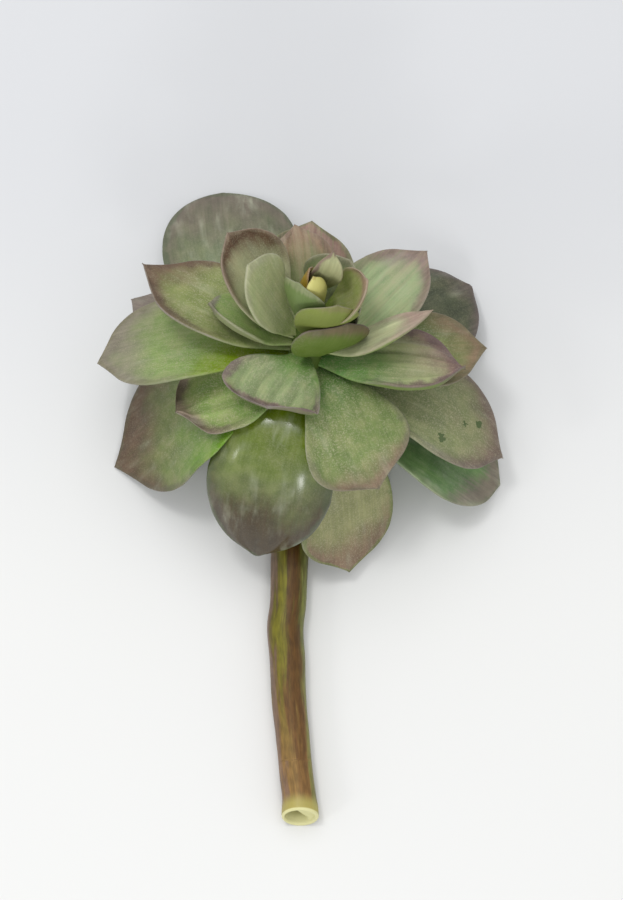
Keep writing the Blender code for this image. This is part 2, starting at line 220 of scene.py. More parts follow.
def leaf_bearing(leaf):
    """The direction across the axis in which a leaf leaves the crown."""
    if leaf.azimuth is None:
        reach = Vector(leaf.tip) - (CROWN_FOOT + AXIS * leaf.height)
        return (reach - AXIS * reach.dot(AXIS)).normalized()
    across = (Vector((1.0, 0.0, 0.0)) - AXIS * AXIS.x).normalized()
    turn = math.radians(leaf.azimuth)
    return across * math.cos(turn) + AXIS.cross(across) * math.sin(turn)


def seated(point, sink):
    """A root's point moved along its radius to lie that deep in the crown's surface."""
    height = (point - CROWN_FOOT).dot(AXIS)
    centre = CROWN_FOOT + AXIS * height
    return centre + (point - centre).normalized() * (crown_radius(height) - sink)


class Midrib:
    """A leaf's curved middle line, read by share of its length, with a frame at each place."""

    def __init__(self, leaf):
        self.leaf = leaf
        out = leaf_bearing(leaf)
        self.side = AXIS.cross(out)
        root = seated(CROWN_FOOT + AXIS * leaf.height + out, -ROOT_GAP)
        tip = Vector(leaf.tip)
        handle = HANDLE_SHARE * (tip - root).length
        rise = math.radians(leaf.rise)
        end = math.radians(leaf.end_rise)
        self.up = AXIS * math.cos(rise) - out * math.sin(rise)
        start_way = out * math.cos(rise) + AXIS * math.sin(rise)
        end_way = out * math.cos(end) + AXIS * math.sin(end)
        near = root + start_way * handle + self.side * (NEAR_SWAY_SHARE * leaf.sway)
        far = tip - end_way * handle + self.side * leaf.sway
        self.points = (root, near, far, tip)
        self.lengths = [0.0]
        last = root
        for step in range(1, MIDRIB_SAMPLES + 1):
            here = self.at(step / MIDRIB_SAMPLES)
            self.lengths.append(self.lengths[-1] + (here - last).length)
            last = here

    def at(self, u):
        """The curve's point at its own parameter."""
        a, b, c, d = self.points
        v = 1.0 - u
        return a * v**3 + b * (3 * v * v * u) + c * (3 * v * u * u) + d * u**3

    def way(self, u):
        """The curve's direction at its own parameter."""
        a, b, c, d = self.points
        v = 1.0 - u
        return ((b - a) * (v * v) + (c - b) * (2 * v * u) + (d - c) * (u * u)).normalized()

    def frame(self, share):
        """Place, side and upper-face normal at a share of the leaf's length."""
        wanted = share * self.lengths[-1]
        step = 1
        while step < MIDRIB_SAMPLES and self.lengths[step] < wanted:
            step += 1
        before = self.lengths[step - 1]
        part = (wanted - before) / max(self.lengths[step] - before, 1e-9)
        u = (step - 1 + part) / MIDRIB_SAMPLES
        way = self.way(u)
        side = (self.side - way * self.side.dot(way)).normalized()
        normal = way.cross(side)
        if normal.dot(self.up) < 0.0:
            normal.negate()
        turn = math.radians(self.leaf.roll) * share * share * (3.0 - 2.0 * share)
        twist = Matrix.Rotation(turn, 3, way)
        return self.at(u), twist @ side, twist @ normal


print("longest leaf:", round(max(Midrib(leaf).lengths[-1] for leaf in LEAVES), 1), "mm")

# %% [markdown]
# ## The outline and the flesh
#
# The outline grows from a narrow root to the widest place, rounds off, and ends in a small point.
# The flesh is thickest low on the midrib and thins toward the rim. Both are functions of the share
# of the length, so a finer mesh only samples them more closely.

# %% Half the width and half the thickness along a leaf
ROOT_SHARE = 0.24
POINT_HOLLOW = 1.1
WIDTH_GROWTH = 1.35
ROOT_FULLNESS = 0.62
FULL_FLESH_SHARE = 0.45
THINNING_FROM = 0.6
END_THINNING = 0.62


def half_width(leaf, share):
    """Half the leaf's width: a narrow root, its widest place, and a round end drawn out to a point."""
    if share < leaf.widest:
        growth = math.sin(0.5 * math.pi * share / leaf.widest) ** WIDTH_GROWTH
        outline = ROOT_SHARE + (1.0 - ROOT_SHARE) * growth
    else:
        past = (share - leaf.widest) / (leaf.round_end - leaf.widest)
        reach = (1.0 - leaf.widest) / (leaf.round_end - leaf.widest)
        turning = 1.0 / reach
        outline = math.sqrt(1.0 - min(past, turning) ** leaf.blunt)
        if past > turning:
            outline *= ((reach - past) / (reach - turning)) ** POINT_HOLLOW
    return 0.5 * leaf.width * outline


def half_thickness(leaf, share):
    """Half the leaf's thickness on its midrib."""
    if share < THINNING_FROM:
        grown = math.sin(0.5 * math.pi * min(share / FULL_FLESH_SHARE, 1.0))
        return 0.5 * leaf.thickness * (ROOT_FULLNESS + (1.0 - ROOT_FULLNESS) * grown)
    thinned = END_THINNING * ((share - THINNING_FROM) / (1.0 - THINNING_FROM)) ** 1.5
    return 0.5 * leaf.thickness * (1.0 - thinned)


print("half width at the middle of the first leaf:", round(half_width(LEAVES[0], 0.5), 1), "mm")

# %% [markdown]
# ## Folds and rims
#
# Soft leaves wrinkle. Some here have ridges that fan out from the root, and some have a rim that
# turns up into a thick lip. A bump map would give only the shading, and the rims show from the
# side, so each ridge is real: a soft hump at a place across the leaf, growing from one share of
# its length to another.

# %% What can be folded into a leaf
class Fold(NamedTuple):
    """A lengthwise ridge: its place across the leaf (-1 to 1), its half width there and its lift."""

    across: float
    spread: float
    lift: float
    start: float = 0.1
    full: float = 0.7


class Shape(NamedTuple):
    """How far one leaf departs from the plain form."""

    folds: tuple = ()
    rim_lift: float = 0.0
    rim_side: float = 0.0
    ripple: float = 0.25
    crease: float = 0.25


SHAPES = {
    "outer_leaf_1": Shape(
        (Fold(-0.6, 0.16, 0.9), Fold(-0.25, 0.13, 0.7), Fold(0.1, 0.13, 0.7), Fold(0.5, 0.18, 0.8)),
        ripple=0.4,
    ),
    "outer_leaf_2": Shape((Fold(0.3, 0.25, 0.4),), rim_lift=0.3),
    "outer_leaf_3": Shape((Fold(0.25, 0.2, 0.8, 0.3, 0.9), Fold(-0.3, 0.2, 0.5)), rim_lift=0.4),
    "outer_leaf_4": Shape((Fold(0.1, 0.35, 0.5, 0.4, 0.9),), rim_lift=0.5),
    "outer_leaf_6": Shape(
        (Fold(0.35, 0.14, 1.0), Fold(0.7, 0.12, 1.0), Fold(0.0, 0.16, 0.8), Fold(-0.5, 0.2, 0.7)),
        ripple=0.5,
    ),
    "outer_leaf_7": Shape((Fold(-0.1, 0.18, 1.2, 0.3, 0.9), Fold(-0.6, 0.2, 0.7), Fold(0.5, 0.2, 0.6))),
    "outer_leaf_8": Shape((Fold(0.2, 0.25, 0.4),), rim_lift=0.8, rim_side=-1.0),
    "outer_leaf_9": Shape((Fold(0.0, 0.14, 1.2, 0.55, 0.85),), rim_lift=0.5),
    "middle_leaf_1": Shape((Fold(0.15, 0.3, 0.5), Fold(-0.4, 0.2, 0.4)), rim_lift=0.7, rim_side=1.0),
    "middle_leaf_2": Shape((Fold(0.2, 0.2, 0.4),), rim_lift=0.7),
    "middle_leaf_3": Shape(
        (
            Fold(-0.65, 0.07, 0.7), Fold(-0.42, 0.06, 0.8), Fold(-0.2, 0.07, 0.9),
            Fold(0.05, 0.07, 0.8), Fold(0.3, 0.08, 0.9), Fold(0.6, 0.09, 0.7),
        ),
        ripple=0.3,
    ),
    "middle_leaf_4": Shape((Fold(-0.5, 0.09, 0.6), Fold(-0.2, 0.09, 0.5), Fold(0.2, 0.09, 0.5)), 0.6),
    "middle_leaf_5": Shape(
        (
            Fold(0.6, 0.09, 0.8, 0.1, 0.5), Fold(0.35, 0.08, 1.0, 0.1, 0.5),
            Fold(0.05, 0.1, 0.8), Fold(-0.3, 0.12, 0.7),
        ),
        rim_lift=0.6,
    ),
    "middle_leaf_6": Shape((Fold(0.15, 0.16, 0.9, 0.05, 0.4),), rim_lift=0.5),
    "middle_leaf_7": Shape(
        (
            Fold(0.45, 0.1, 1.7, 0.1, 0.5), Fold(0.1, 0.08, 1.4, 0.15, 0.5),
            Fold(-0.15, 0.06, 0.9, 0.2, 0.5), Fold(-0.62, 0.1, 2.0, 0.45, 0.85),
        ),
        rim_lift=1.8,
        rim_side=-1.0,
    ),
    "middle_leaf_8": Shape((Fold(0.2, 0.2, 0.6), Fold(-0.3, 0.15, 0.5)), rim_lift=0.4),
    "middle_leaf_9": Shape((Fold(0.1, 0.4, 0.5, 0.2, 0.8),), rim_lift=1.0, rim_side=-1.0),
    "middle_leaf_10": Shape(
        (
            Fold(-0.2, 0.07, 1.8, 0.15, 0.7), Fold(0.12, 0.06, 1.8, 0.15, 0.7),
            Fold(0.45, 0.07, 1.8, 0.2, 0.7), Fold(-0.6, 0.09, 0.9),
        ),
        rim_lift=1.9,
    ),
    "middle_leaf_11": Shape((Fold(0.45, 0.1, 1.4, 0.3, 0.8), Fold(0.1, 0.12, 1.0)), 1.8, ripple=0.5),
    "middle_leaf_12": Shape((Fold(0.1, 0.25, 0.4),), rim_lift=1.2, rim_side=1.0),
    "inner_leaf_1": Shape(rim_lift=0.3, ripple=0.2),
    "inner_leaf_3": Shape((Fold(-0.2, 0.12, 0.4), Fold(0.3, 0.12, 0.4)), ripple=0.1),
    "inner_leaf_4": Shape(rim_lift=0.5, ripple=0.2),
    "inner_leaf_5": Shape(rim_lift=0.9, rim_side=1.0, ripple=0.1),
}
print("leaves with folds of their own:", len(SHAPES))

# %% How far folds, rim and ripple raise a place on a leaf
RIM_LIP_FROM = 0.72
END_LIP = 0.7
MIDRIB_CREASE_WIDTH = 0.1


def fold_lift(shape, across, share):
    """How far the folds alone raise a place on the leaf, in millimetres."""
    lift = 0.0
    for fold in shape.folds:
        hump = math.exp(-(((across - fold.across) / fold.spread) ** 2))
        lift += fold.lift * hump * smooth_step(fold.start, fold.full, share) * (1.0 - share**6)
    return lift


def leaf_lift(shape, seed, across, share):
    """How far folds, rim and ripple raise a place on the leaf, in millimetres."""
    lift = fold_lift(shape, across, share)
    past_root = smooth_step(0.05, 0.3, share)
    near_rim = smooth_step(RIM_LIP_FROM, 1.0, abs(across)) * smooth_step(0.15, 0.5, share)
    side_share = 1.0 if shape.rim_side == 0.0 else smooth_step(-0.6, 0.6, across * shape.rim_side)
    lift += shape.rim_lift * near_rim * side_share
    lift += shape.rim_lift * END_LIP * smooth_step(0.86, 0.98, share) * (1.0 - near_rim) * side_share
    wave = noise.noise(Vector((across * 1.3, share * 3.2, seed)))
    fine = noise.noise(Vector((across * 4.0, share * 6.0, seed + 7.3)))
    lift += shape.ripple * (1.2 * wave + 0.35 * fine) * past_root
    crease = shape.crease * math.exp(-((across / MIDRIB_CREASE_WIDTH) ** 2))
    return lift - crease * past_root * (1.0 - share)


print("first leaf's lift halfway out:", round(leaf_lift(SHAPES["outer_leaf_1"], 0.0, 0.5, 0.5), 2), "mm")

# %% [markdown]
# ## Growing one leaf
#
# A sphere has two poles and rings between them, which is what a closed leaf needs: one pole
# becomes the root, the other the point, and each ring a section. The operator makes the sphere and
# its faces, and the loop only moves its vertices. On the way it writes three attributes that the
# paint reads later: how far a place is across and along in millimetres and which face it is on,
# how far from the rim it is, and how high the folds stand there, which the paint turns into
# painted shade in their valleys and painted highlight on their crests.

# %% A section that curls up, and an outline that isn't quite smooth
LEAF_SIDES = 52
LEAF_RINGS = 76
ROOT_CAP = 1.0 / 12.0
ROOT_CUP = 0.35
RIM_FULLNESS = 0.85
SMALLEST_HALF_WIDTH = 0.12
FLAT_BEND = 1e-4
OUTLINE_WAVE = 0.022
OUTLINE_NICKS = 0.008


def curled(half, bend, across, swell):
    """A place on a section that bends up evenly, raised from the section's middle line."""
    angle = bend * across
    if abs(bend) < FLAT_BEND:
        x, z = half * across, 0.0
    else:
        x = half / bend * math.sin(angle)
        z = half / bend * (1.0 - math.cos(angle))
    return x - swell * math.sin(angle), z + swell * math.cos(angle)


def grown_half(half, share, across, seed):
    """Half the width with the slow waves and small nicks of a grown rim."""
    side_seed = math.copysign(3.0, across)
    wobble = OUTLINE_WAVE * noise.noise(Vector((share * 5.0, side_seed, seed + 3.1)))
    wobble += OUTLINE_NICKS * noise.noise(Vector((share * 22.0, side_seed, seed + 9.7)))
    return max(half * (1.0 + wobble), SMALLEST_HALF_WIDTH)


print("a leaf has", LEAF_SIDES, "sides and", LEAF_RINGS, "rings")

# %% Turn a sphere into a leaf, with the attributes its paint needs
SMALL_WIDTH = 16.0
FULL_WIDTH = 25.0
END_STRETCH = 1.3
POLE = 0.9999


def grow_leaf(leaf, seed):
    """The leaf's mesh in plan millimetres, with its skin, mark and crest attributes."""
    midrib = Midrib(leaf)
    length = midrib.lengths[-1]
    shape = SHAPES.get(leaf.name, Shape(ripple=0.12 if leaf.width < SMALL_WIDTH else 0.25))
    size = min(leaf.width / FULL_WIDTH, 1.0)
    work = bmesh.new()
    bmesh.ops.create_uvsphere(work, u_segments=LEAF_SIDES, v_segments=LEAF_RINGS, radius=1.0)
    skin = work.verts.layers.float_vector.new("skin")
    mark = work.verts.layers.float_vector.new("mark")
    crest = work.verts.layers.float.new("crest")
    frames = {}
    for vert in work.verts:
        along = math.acos(max(-1.0, min(1.0, -vert.co.z))) / math.pi
        turn = math.atan2(vert.co.y, vert.co.x)
        ring = round(along * LEAF_RINGS)
        opening = math.sin(0.5 * math.pi * min(along / ROOT_CAP, 1.0))
        share = math.sin(0.5 * math.pi * max(along - ROOT_CAP, 0.0) / (1.0 - ROOT_CAP))
        if ring not in frames:
            frames[ring] = (*midrib.frame(share), half_width(leaf, share))
        place, side, normal, half = frames[ring]
        across = math.cos(turn) * opening
        half = grown_half(half, share, across, seed)
        end_distance = (1.0 - share) * length * END_STRETCH
        side_distance = half * (1.0 - abs(across))
        vert[skin] = Vector((half * across, share * length, 0.5 + 0.5 * math.sin(turn)))
        vert[mark] = Vector((min(side_distance, end_distance), share, across))
        vert[crest] = fold_lift(shape, across, share)
        if along > POLE:
            vert.co = place
            continue
        depth = min(half_thickness(leaf, share), 0.6 * half)
        opened = ROOT_CUP + (1.0 - ROOT_CUP) * math.sin(0.5 * math.pi * min(2.0 * share, 1.0))
        bend = math.radians(leaf.cup) * opened * 2.0 * half / leaf.width
        swell = math.copysign(abs(math.sin(turn)) ** RIM_FULLNESS, math.sin(turn)) * depth * opening
        swell += leaf_lift(shape, seed, across, share) * size * opening
        x, z = curled(half, bend, across, swell)
        vert.co = place + side * x + normal * z
        if along < 1.5 * ROOT_CAP:
            closeness = 1.0 - smooth_step(0.8 * ROOT_CAP, 1.5 * ROOT_CAP, along)
            vert.co = vert.co.lerp(seated(vert.co, ROOT_SINK), closeness)
        vert.co.z = max(vert.co.z, 0.0)
    if work.calc_volume(signed=True) < 0.0:
        bmesh.ops.reverse_faces(work, faces=work.faces)
    return work


trial = grow_leaf(LEAVES[0], 0.0)
print("a leaf has", len(trial.faces), "faces and", round(trial.calc_volume() / 1000.0, 1), "ml of flesh")
trial.free()

# %% [markdown]
# ## Handing a piece over
#
# Each finished mesh goes from plan millimetres to metres in one step, so its object stays at the
# origin, unturned and unscaled. The plant is one body, so every piece rides on its root.

# %% Make a finished mesh an object
def finish_piece(work, name, material, node=None):
    """The object of a finished bmesh, at the origin, riding on the plant."""
    for face in work.faces:
        face.smooth = True
    work.transform(Matrix.Scale(MM, 4) @ Matrix.Translation(-PLAN_MIDDLE))
    mesh = bpy.data.meshes.new(name)
    work.to_mesh(mesh)
    work.free()
    mesh.materials.append(material)
    piece = bpy.data.objects.new(name, mesh)
    bpy.context.scene.collection.objects.link(piece)
    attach(piece, "root")
    if node:
        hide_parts(node)


print("plan to metres:", MM, "about", tuple(PLAN_MIDDLE))

# %% [markdown]
# ## Paint as nodes
#
# The skin's colour changes along the leaf and near its rim, under a fine pale powder. A picture
# could hold that, but a few nodes reading the three attributes follow the shape exactly and stay
# sharp at any distance. These helpers keep each later line to one idea.

# %% Small helpers that add and join nodes
def paint(red, green, blue):
    """A colour as seen on a screen, 0 to 255, as the linear values that shaders use."""
    linear = []
    for value in (red, green, blue):
        part = value / 255.0
        linear.append(part / 12.92 if part <= 0.04045 else ((part + 0.055) / 1.055) ** 2.4)
    return (*linear, 1.0)


def feed(tree, socket, value):
    """Link a socket to another, or set its number or colour."""
    if isinstance(value, bpy.types.NodeSocket):
        tree.links.new(value, socket)
    else:
        socket.default_value = value


def add(tree, kind, **settings):
    """A new node with some of its settings."""
    made = tree.nodes.new(kind)
    for key, value in settings.items():
        setattr(made, key, value)
    return made


def reckoned(tree, operation, first, others):
    """Numbers and sockets joined one after another by Math nodes."""
    for other in others:
        made = add(tree, "ShaderNodeMath", operation=operation)
        feed(tree, made.inputs[0], first)
        feed(tree, made.inputs[1], other)
        first = made.outputs[0]
    return first


def total(tree, first, *others):
    """The sum of numbers and sockets."""
    return reckoned(tree, "ADD", first, others)


def product(tree, first, *others):
    """The product of numbers and sockets."""
    return reckoned(tree, "MULTIPLY", first, others)


def step(tree, value, low, high, start=0.0, end=1.0):
    """A smooth step from start to end while the value goes from low to high."""
    made = add(tree, "ShaderNodeMapRange", interpolation_type="SMOOTHSTEP")
    feed(tree, made.inputs["Value"], value)
    for name, number in (("From Min", low), ("From Max", high), ("To Min", start), ("To Max", end)):
        feed(tree, made.inputs[name], number)
    return made.outputs["Result"]


def mixed(tree, share, first, second, blend="MIX"):
    """Two colours mixed."""
    made = add(tree, "ShaderNodeMix", data_type="RGBA", blend_type=blend)
    for index, value in ((0, share), (6, first), (7, second)):
        feed(tree, made.inputs[index], value)
    return made.outputs[2]


def toned(tree, colour, value, low, high, first_tone, last_tone):
    """A colour multiplied by a tone that changes while a value goes from low to high."""
    return mixed(tree, 1.0, colour, step(tree, value, low, high, first_tone, last_tone), "MULTIPLY")


print("red alone on a screen is", [round(v, 3) for v in paint(255, 0, 0)], "in a shader")

# %% Helpers that read the mesh, and the finish that each piece starts from
def attribute_at(tree, name, output="Vector"):
    """The value of one of the mesh's own attributes."""
    return add(tree, "ShaderNodeAttribute", attribute_name=name).outputs[output]


def parts_of(tree, vector):
    """The X, Y and Z of a vector."""
    made = add(tree, "ShaderNodeSeparateXYZ")
    feed(tree, made.inputs[0], vector)
    return made.outputs["X"], made.outputs["Y"], made.outputs["Z"]


def shifted_by(tree, operation, first, second):
    """The result of a Vector Math node with two inputs."""
    made = add(tree, "ShaderNodeVectorMath", operation=operation)
    feed(tree, made.inputs[0], first)
    feed(tree, made.inputs[1], second)
    return made.outputs["Value" if operation == "DISTANCE" else "Vector"]


def grain(tree, where, scale, detail=2.0, stretch=(1.0, 1.0, 1.0)):
    """Noise from 0 to 1 at a scale per unit of its coordinates."""
    fitted = add(tree, "ShaderNodeMapping")
    feed(tree, fitted.inputs["Vector"], where)
    fitted.inputs["Scale"].default_value = stretch
    made = add(tree, "ShaderNodeTexNoise")
    feed(tree, made.inputs["Vector"], fitted.outputs["Vector"])
    made.inputs["Scale"].default_value = scale
    made.inputs["Detail"].default_value = detail
    return made.outputs["Fac"]


def bumped(tree, shader, height, strength, distance):
    """Tie a bump of a height, in metres, to a shader."""
    made = add(tree, "ShaderNodeBump")
    made.inputs["Strength"].default_value = strength
    made.inputs["Distance"].default_value = distance
    feed(tree, made.inputs["Height"], height)
    feed(tree, shader.inputs["Normal"], made.outputs["Normal"])


def blank_finish(name, roughness):
    """A new material with its tree and shader."""
    made = bpy.data.materials.new(name)
    made.use_nodes = True
    shader = made.node_tree.nodes["Principled BSDF"]
    shader.inputs["Roughness"].default_value = roughness
    return made, made.node_tree, shader


print("the skin's own coordinates are in millimetres,", round(1.0 / MM), "to the metre")

# %% [markdown]
# ## The leaf's skin
#
# From root to end the skin goes from bright yellow-green through sage to a dusty mauve-brown. The
# mauve also creeps down both sides, the rim itself is a thin pale line, and the upper face wears
# a powder of tiny pale grains, rubbed thin in places. The underside is smoother and greener. One
# recipe can make them all if its ingredients are kept apart, so these come first: colours, then
# shares of the length, widths in millimetres and strengths.

# %% The ingredients of one leaf's skin
class Skin(NamedTuple):
    """The colours and the finish of one leaf."""

    root: tuple = (112, 142, 62)
    body: tuple = (132, 150, 98)
    end: tuple = (120, 102, 95)
    edge: tuple = (118, 108, 98)
    rim: tuple = (140, 134, 126)
    under: tuple = (106, 128, 66)
    root_until: float = 0.45
    end_from: float = 0.62
    end_full: float = 1.0
    edge_mm: float = 2.4
    edge_share: float = 0.55
    edge_side: float = 0.0
    rim_mm: float = 0.32
    rim_share: float = 0.35
    dust: float = 0.35
    scuffs_and_sheen: float = 0.22
    side_pull: float = 0.0
    side_reach: float = 0.14
    drift: float = 0.08
    streaks: float = 0.0
    powder: float = 0.45
    rough: float = 0.62
    coat: float = 0.0
    bright: float = 1.08
    rubs: tuple = ()


print("a skin has", len(Skin._fields), "ingredients")

# %% [markdown]
# The steps of the recipe read the same things, so one object holds them: where a place lies on the
# leaf, from the attributes, and six noises. Those on Object coordinates are round, and those on the
# skin's own coordinates are stretched along the leaf, like its fibres.

# %% What every step of the paint reads
NOISE_SPAN = (0.25, 0.75)
CLOUD_SCALE = 95.0
PATCH_SCALE = 260.0
FLAKE_SCALE = 1100.0
SPECK_SCALE = 2600.0
FIBRE_STRETCH = (1.5, 0.09, 0.3)
SCUFF_AND_SHEEN_STRETCH = (0.3, 0.1, 0.3)
FIBRE_DRIFT = 0.03
SIDE_REACH_MM = 6.5
ROOT_FROM = 0.08


class LeafPaint:
    """One leaf's tree and ingredients, where a place lies on the leaf, and the noises."""

    def __init__(self, tree, skin):
        self.tree = tree
        self.skin = skin
        self.skin_at = attribute_at(tree, "skin")
        self.in_space = add(tree, "ShaderNodeTexCoord").outputs["Object"]
        self.upper = parts_of(tree, self.skin_at)[2]
        self.from_rim, self.share, self.across = parts_of(tree, attribute_at(tree, "mark"))
        self.cloud = grain(tree, self.in_space, CLOUD_SCALE, 3.0)
        self.patch = grain(tree, self.in_space, PATCH_SCALE, 3.0)
        self.speck = grain(tree, self.in_space, SPECK_SCALE, 1.0)
        self.flake = grain(tree, self.in_space, FLAKE_SCALE, 2.0)
        self.fibre = grain(tree, self.skin_at, 1.0, 2.0, FIBRE_STRETCH)
        self.scuff_and_sheen_grain = grain(tree, self.skin_at, 1.0, 3.0, SCUFF_AND_SHEEN_STRETCH)
        drift = step(tree, self.cloud, *NOISE_SPAN, -skin.drift, skin.drift)
        streak = step(tree, self.fibre, *NOISE_SPAN, -FIBRE_DRIFT, FIBRE_DRIFT)
        reach = total(tree, self.share, drift, streak, product(tree, self.across, skin.side_pull))
        near_sides = step(tree, self.from_rim, 0.0, SIDE_REACH_MM, skin.side_reach, 0.0)
        self.rooted = step(tree, reach, ROOT_FROM, skin.root_until, 1.0, 0.0)
        self.ended = step(tree, total(tree, reach, near_sides), skin.end_from, skin.end_full)

    def over(self, share, colour, red_green_blue):
        """A colour given on a screen's scale, laid over another by a share."""
        return mixed(self.tree, share, colour, paint(*red_green_blue))


print("noises from", CLOUD_SCALE, "to", SPECK_SCALE, "to the metre")

# %% From the root to the end, and the band inside the rim
DUSK_COLOUR = (140, 134, 104)
EDGE_WEAR = 0.35


def aged(leaf):
    """The colour from the root through the body to the end, with dusky clouds on the body."""
    tree, skin = leaf.tree, leaf.skin
    colour = leaf.over(leaf.rooted, paint(*skin.body), skin.root)
    dusty = product(tree, step(tree, leaf.patch, 0.38, 0.68), skin.dust)
    return leaf.over(leaf.ended, leaf.over(dusty, colour, DUSK_COLOUR), skin.end)


def edged(leaf, colour):
    """A band of another colour along the rim, worn to an uneven width."""
    tree, skin = leaf.tree, leaf.skin
    wear = EDGE_WEAR * skin.edge_mm
    place = total(tree, leaf.from_rim, step(tree, leaf.patch, *NOISE_SPAN, -wear, wear))
    at_edge = step(tree, place, 0.3 * skin.edge_mm, skin.edge_mm, skin.edge_share, 0.0)
    grown = product(tree, at_edge, step(tree, leaf.share, 0.2, 0.65))
    if skin.edge_side:
        one_side = step(tree, product(tree, leaf.across, skin.edge_side), -0.5, 0.5)
        grown = product(tree, grown, one_side)
    return leaf.over(grown, colour, skin.edge)


print("the band along a rim is", Skin().edge_mm, "mm wide and worn by", EDGE_WEAR, "of that")

# %% Tones, painted shade and highlight on the folds, pale patches partly painted highlight, and strands along the leaf
SCUFF_AND_SHEEN_COLOUR = (184, 188, 166)
STRAND_STRETCH = (0.85, 0.03, 0.3)
PALE_STRAND = (0.45, 0.7, (168, 154, 132))
GREEN_STRAND = (0.42, 0.25, (116, 138, 84))


def mottled_and_fold_shaded(leaf, colour):
    """Patches and fibres, darker and lighter, with painted shade in the folds' valleys and painted
    highlight on their crests.
    """
    colour = toned(leaf.tree, colour, leaf.patch, *NOISE_SPAN, 0.84, 1.12)
    colour = toned(leaf.tree, colour, leaf.fibre, 0.3, 0.7, 0.9, 1.07)
    # Painted shade in the folds' valleys and painted highlight on their crests, from the folds' height.
    return toned(leaf.tree, colour, attribute_at(leaf.tree, "crest", "Fac"), 0.0, 0.9, 0.9, 1.12)


def scuffed_and_sheened(leaf, colour):
    """Broad pale patches of powder, which on outer leaves 1 and 6 are painted highlight, and on a few
    leaves lengthwise strands of two colours.
    """
    tree, skin = leaf.tree, leaf.skin
    # Pale patches: powder, and painted highlight on outer leaves 1 and 6.
    rubbed = product(tree, step(tree, leaf.scuff_and_sheen_grain, 0.48, 0.78), step(tree, leaf.cloud, 0.35, 0.7))
    colour = leaf.over(product(tree, rubbed, skin.scuffs_and_sheen), colour, SCUFF_AND_SHEEN_COLOUR)
    if skin.streaks:
        strand = grain(tree, leaf.skin_at, 1.0, 1.0, STRAND_STRETCH)
        for low, high, strand_colour in (PALE_STRAND, GREEN_STRAND):
            stranded = product(tree, step(tree, strand, low, high), skin.streaks)
            colour = leaf.over(stranded, colour, strand_colour)
    return colour


print("strands are", PALE_STRAND[2], "and", GREEN_STRAND[2])

# %% The underside, the powder and the rubbed spots
POWDER_COLOUR = (172, 168, 142)
RUB_COLOUR = (66, 84, 50)
RUB_RAGGEDNESS = 3.2
RUB_GRAIN_SCALE = 900.0
ON_THE_SKIN = (1.0, 1.0, 0.0)


def greener_below(leaf, colour):
    """The underside's own colour, weaker where the end has turned brown."""
    tree = leaf.tree
    below = product(
        tree, step(tree, leaf.upper, 0.3, 0.6, 0.75, 0.0), step(tree, leaf.ended, 0.0, 1.0, 1.0, 0.35)
    )
    return leaf.over(below, colour, leaf.skin.under)


def powdered(leaf, colour):
    """A powder of pale grains on the upper face, thinner in places and on the brown end."""
    tree = leaf.tree
    grains = total(tree, step(tree, leaf.speck, 0.5, 0.66), step(tree, leaf.flake, 0.56, 0.68, 0.0, 0.6))
    left = product(
        tree, step(tree, leaf.cloud, 0.3, 0.7, 0.45, 1.0), step(tree, leaf.ended, 0.0, 1.0, 1.0, 0.4)
    )
    return leaf.over(product(tree, grains, left, leaf.upper, leaf.skin.powder), colour, POWDER_COLOUR)


def rubbed_bare(leaf, colour):
    """Small ragged spots where a touch has taken the powder off."""
    tree = leaf.tree
    for rub_x, rub_y, rub_radius in leaf.skin.rubs:
        made = add(tree, "ShaderNodeTexNoise")
        feed(tree, made.inputs["Vector"], leaf.in_space)
        made.inputs["Scale"].default_value = RUB_GRAIN_SCALE
        centred = shifted_by(tree, "SUBTRACT", made.outputs["Color"], (0.5, 0.5, 0.5))
        wobble = shifted_by(tree, "MULTIPLY", centred, (RUB_RAGGEDNESS,) * 3)
        place = shifted_by(tree, "MULTIPLY", shifted_by(tree, "ADD", leaf.skin_at, wobble), ON_THE_SKIN)
        apart = shifted_by(tree, "DISTANCE", place, (rub_x, rub_y, 0.0))
        spot = step(tree, apart, 0.8 * rub_radius, rub_radius, 0.85, 0.0)
        colour = leaf.over(spot, colour, RUB_COLOUR)
    return colour


def rimmed(leaf, colour):
    """The thin pale line of the rim itself, broken here and there."""
    tree, skin = leaf.tree, leaf.skin
    line = step(tree, leaf.from_rim, 0.05, skin.rim_mm, skin.rim_share, 0.0)
    grown = step(tree, leaf.share, 0.15, 0.45)
    kept = step(tree, leaf.patch, 0.3, 0.6, 0.45, 1.0)
    return leaf.over(product(tree, line, grown, kept), colour, skin.rim)


print("a grain of powder is", POWDER_COLOUR, "and a rubbed spot", RUB_COLOUR)

# %% [markdown]
# The finish follows the colour. Fibres and specks make a bump of a fifth of a millimetre, and the
# oldest leaves have a thin clear coat for their gloss.

# %% All the steps in their order, and the finish
PAINT_STEPS = (edged, mottled_and_fold_shaded, scuffed_and_sheened, greener_below, powdered, rubbed_bare, rimmed)
SATURATION = 1.12
SKIN_SPECULAR = 0.28
COAT_ROUGHNESS = 0.19
SKIN_BUMP = 0.35
SKIN_BUMP_DEPTH = 0.0002


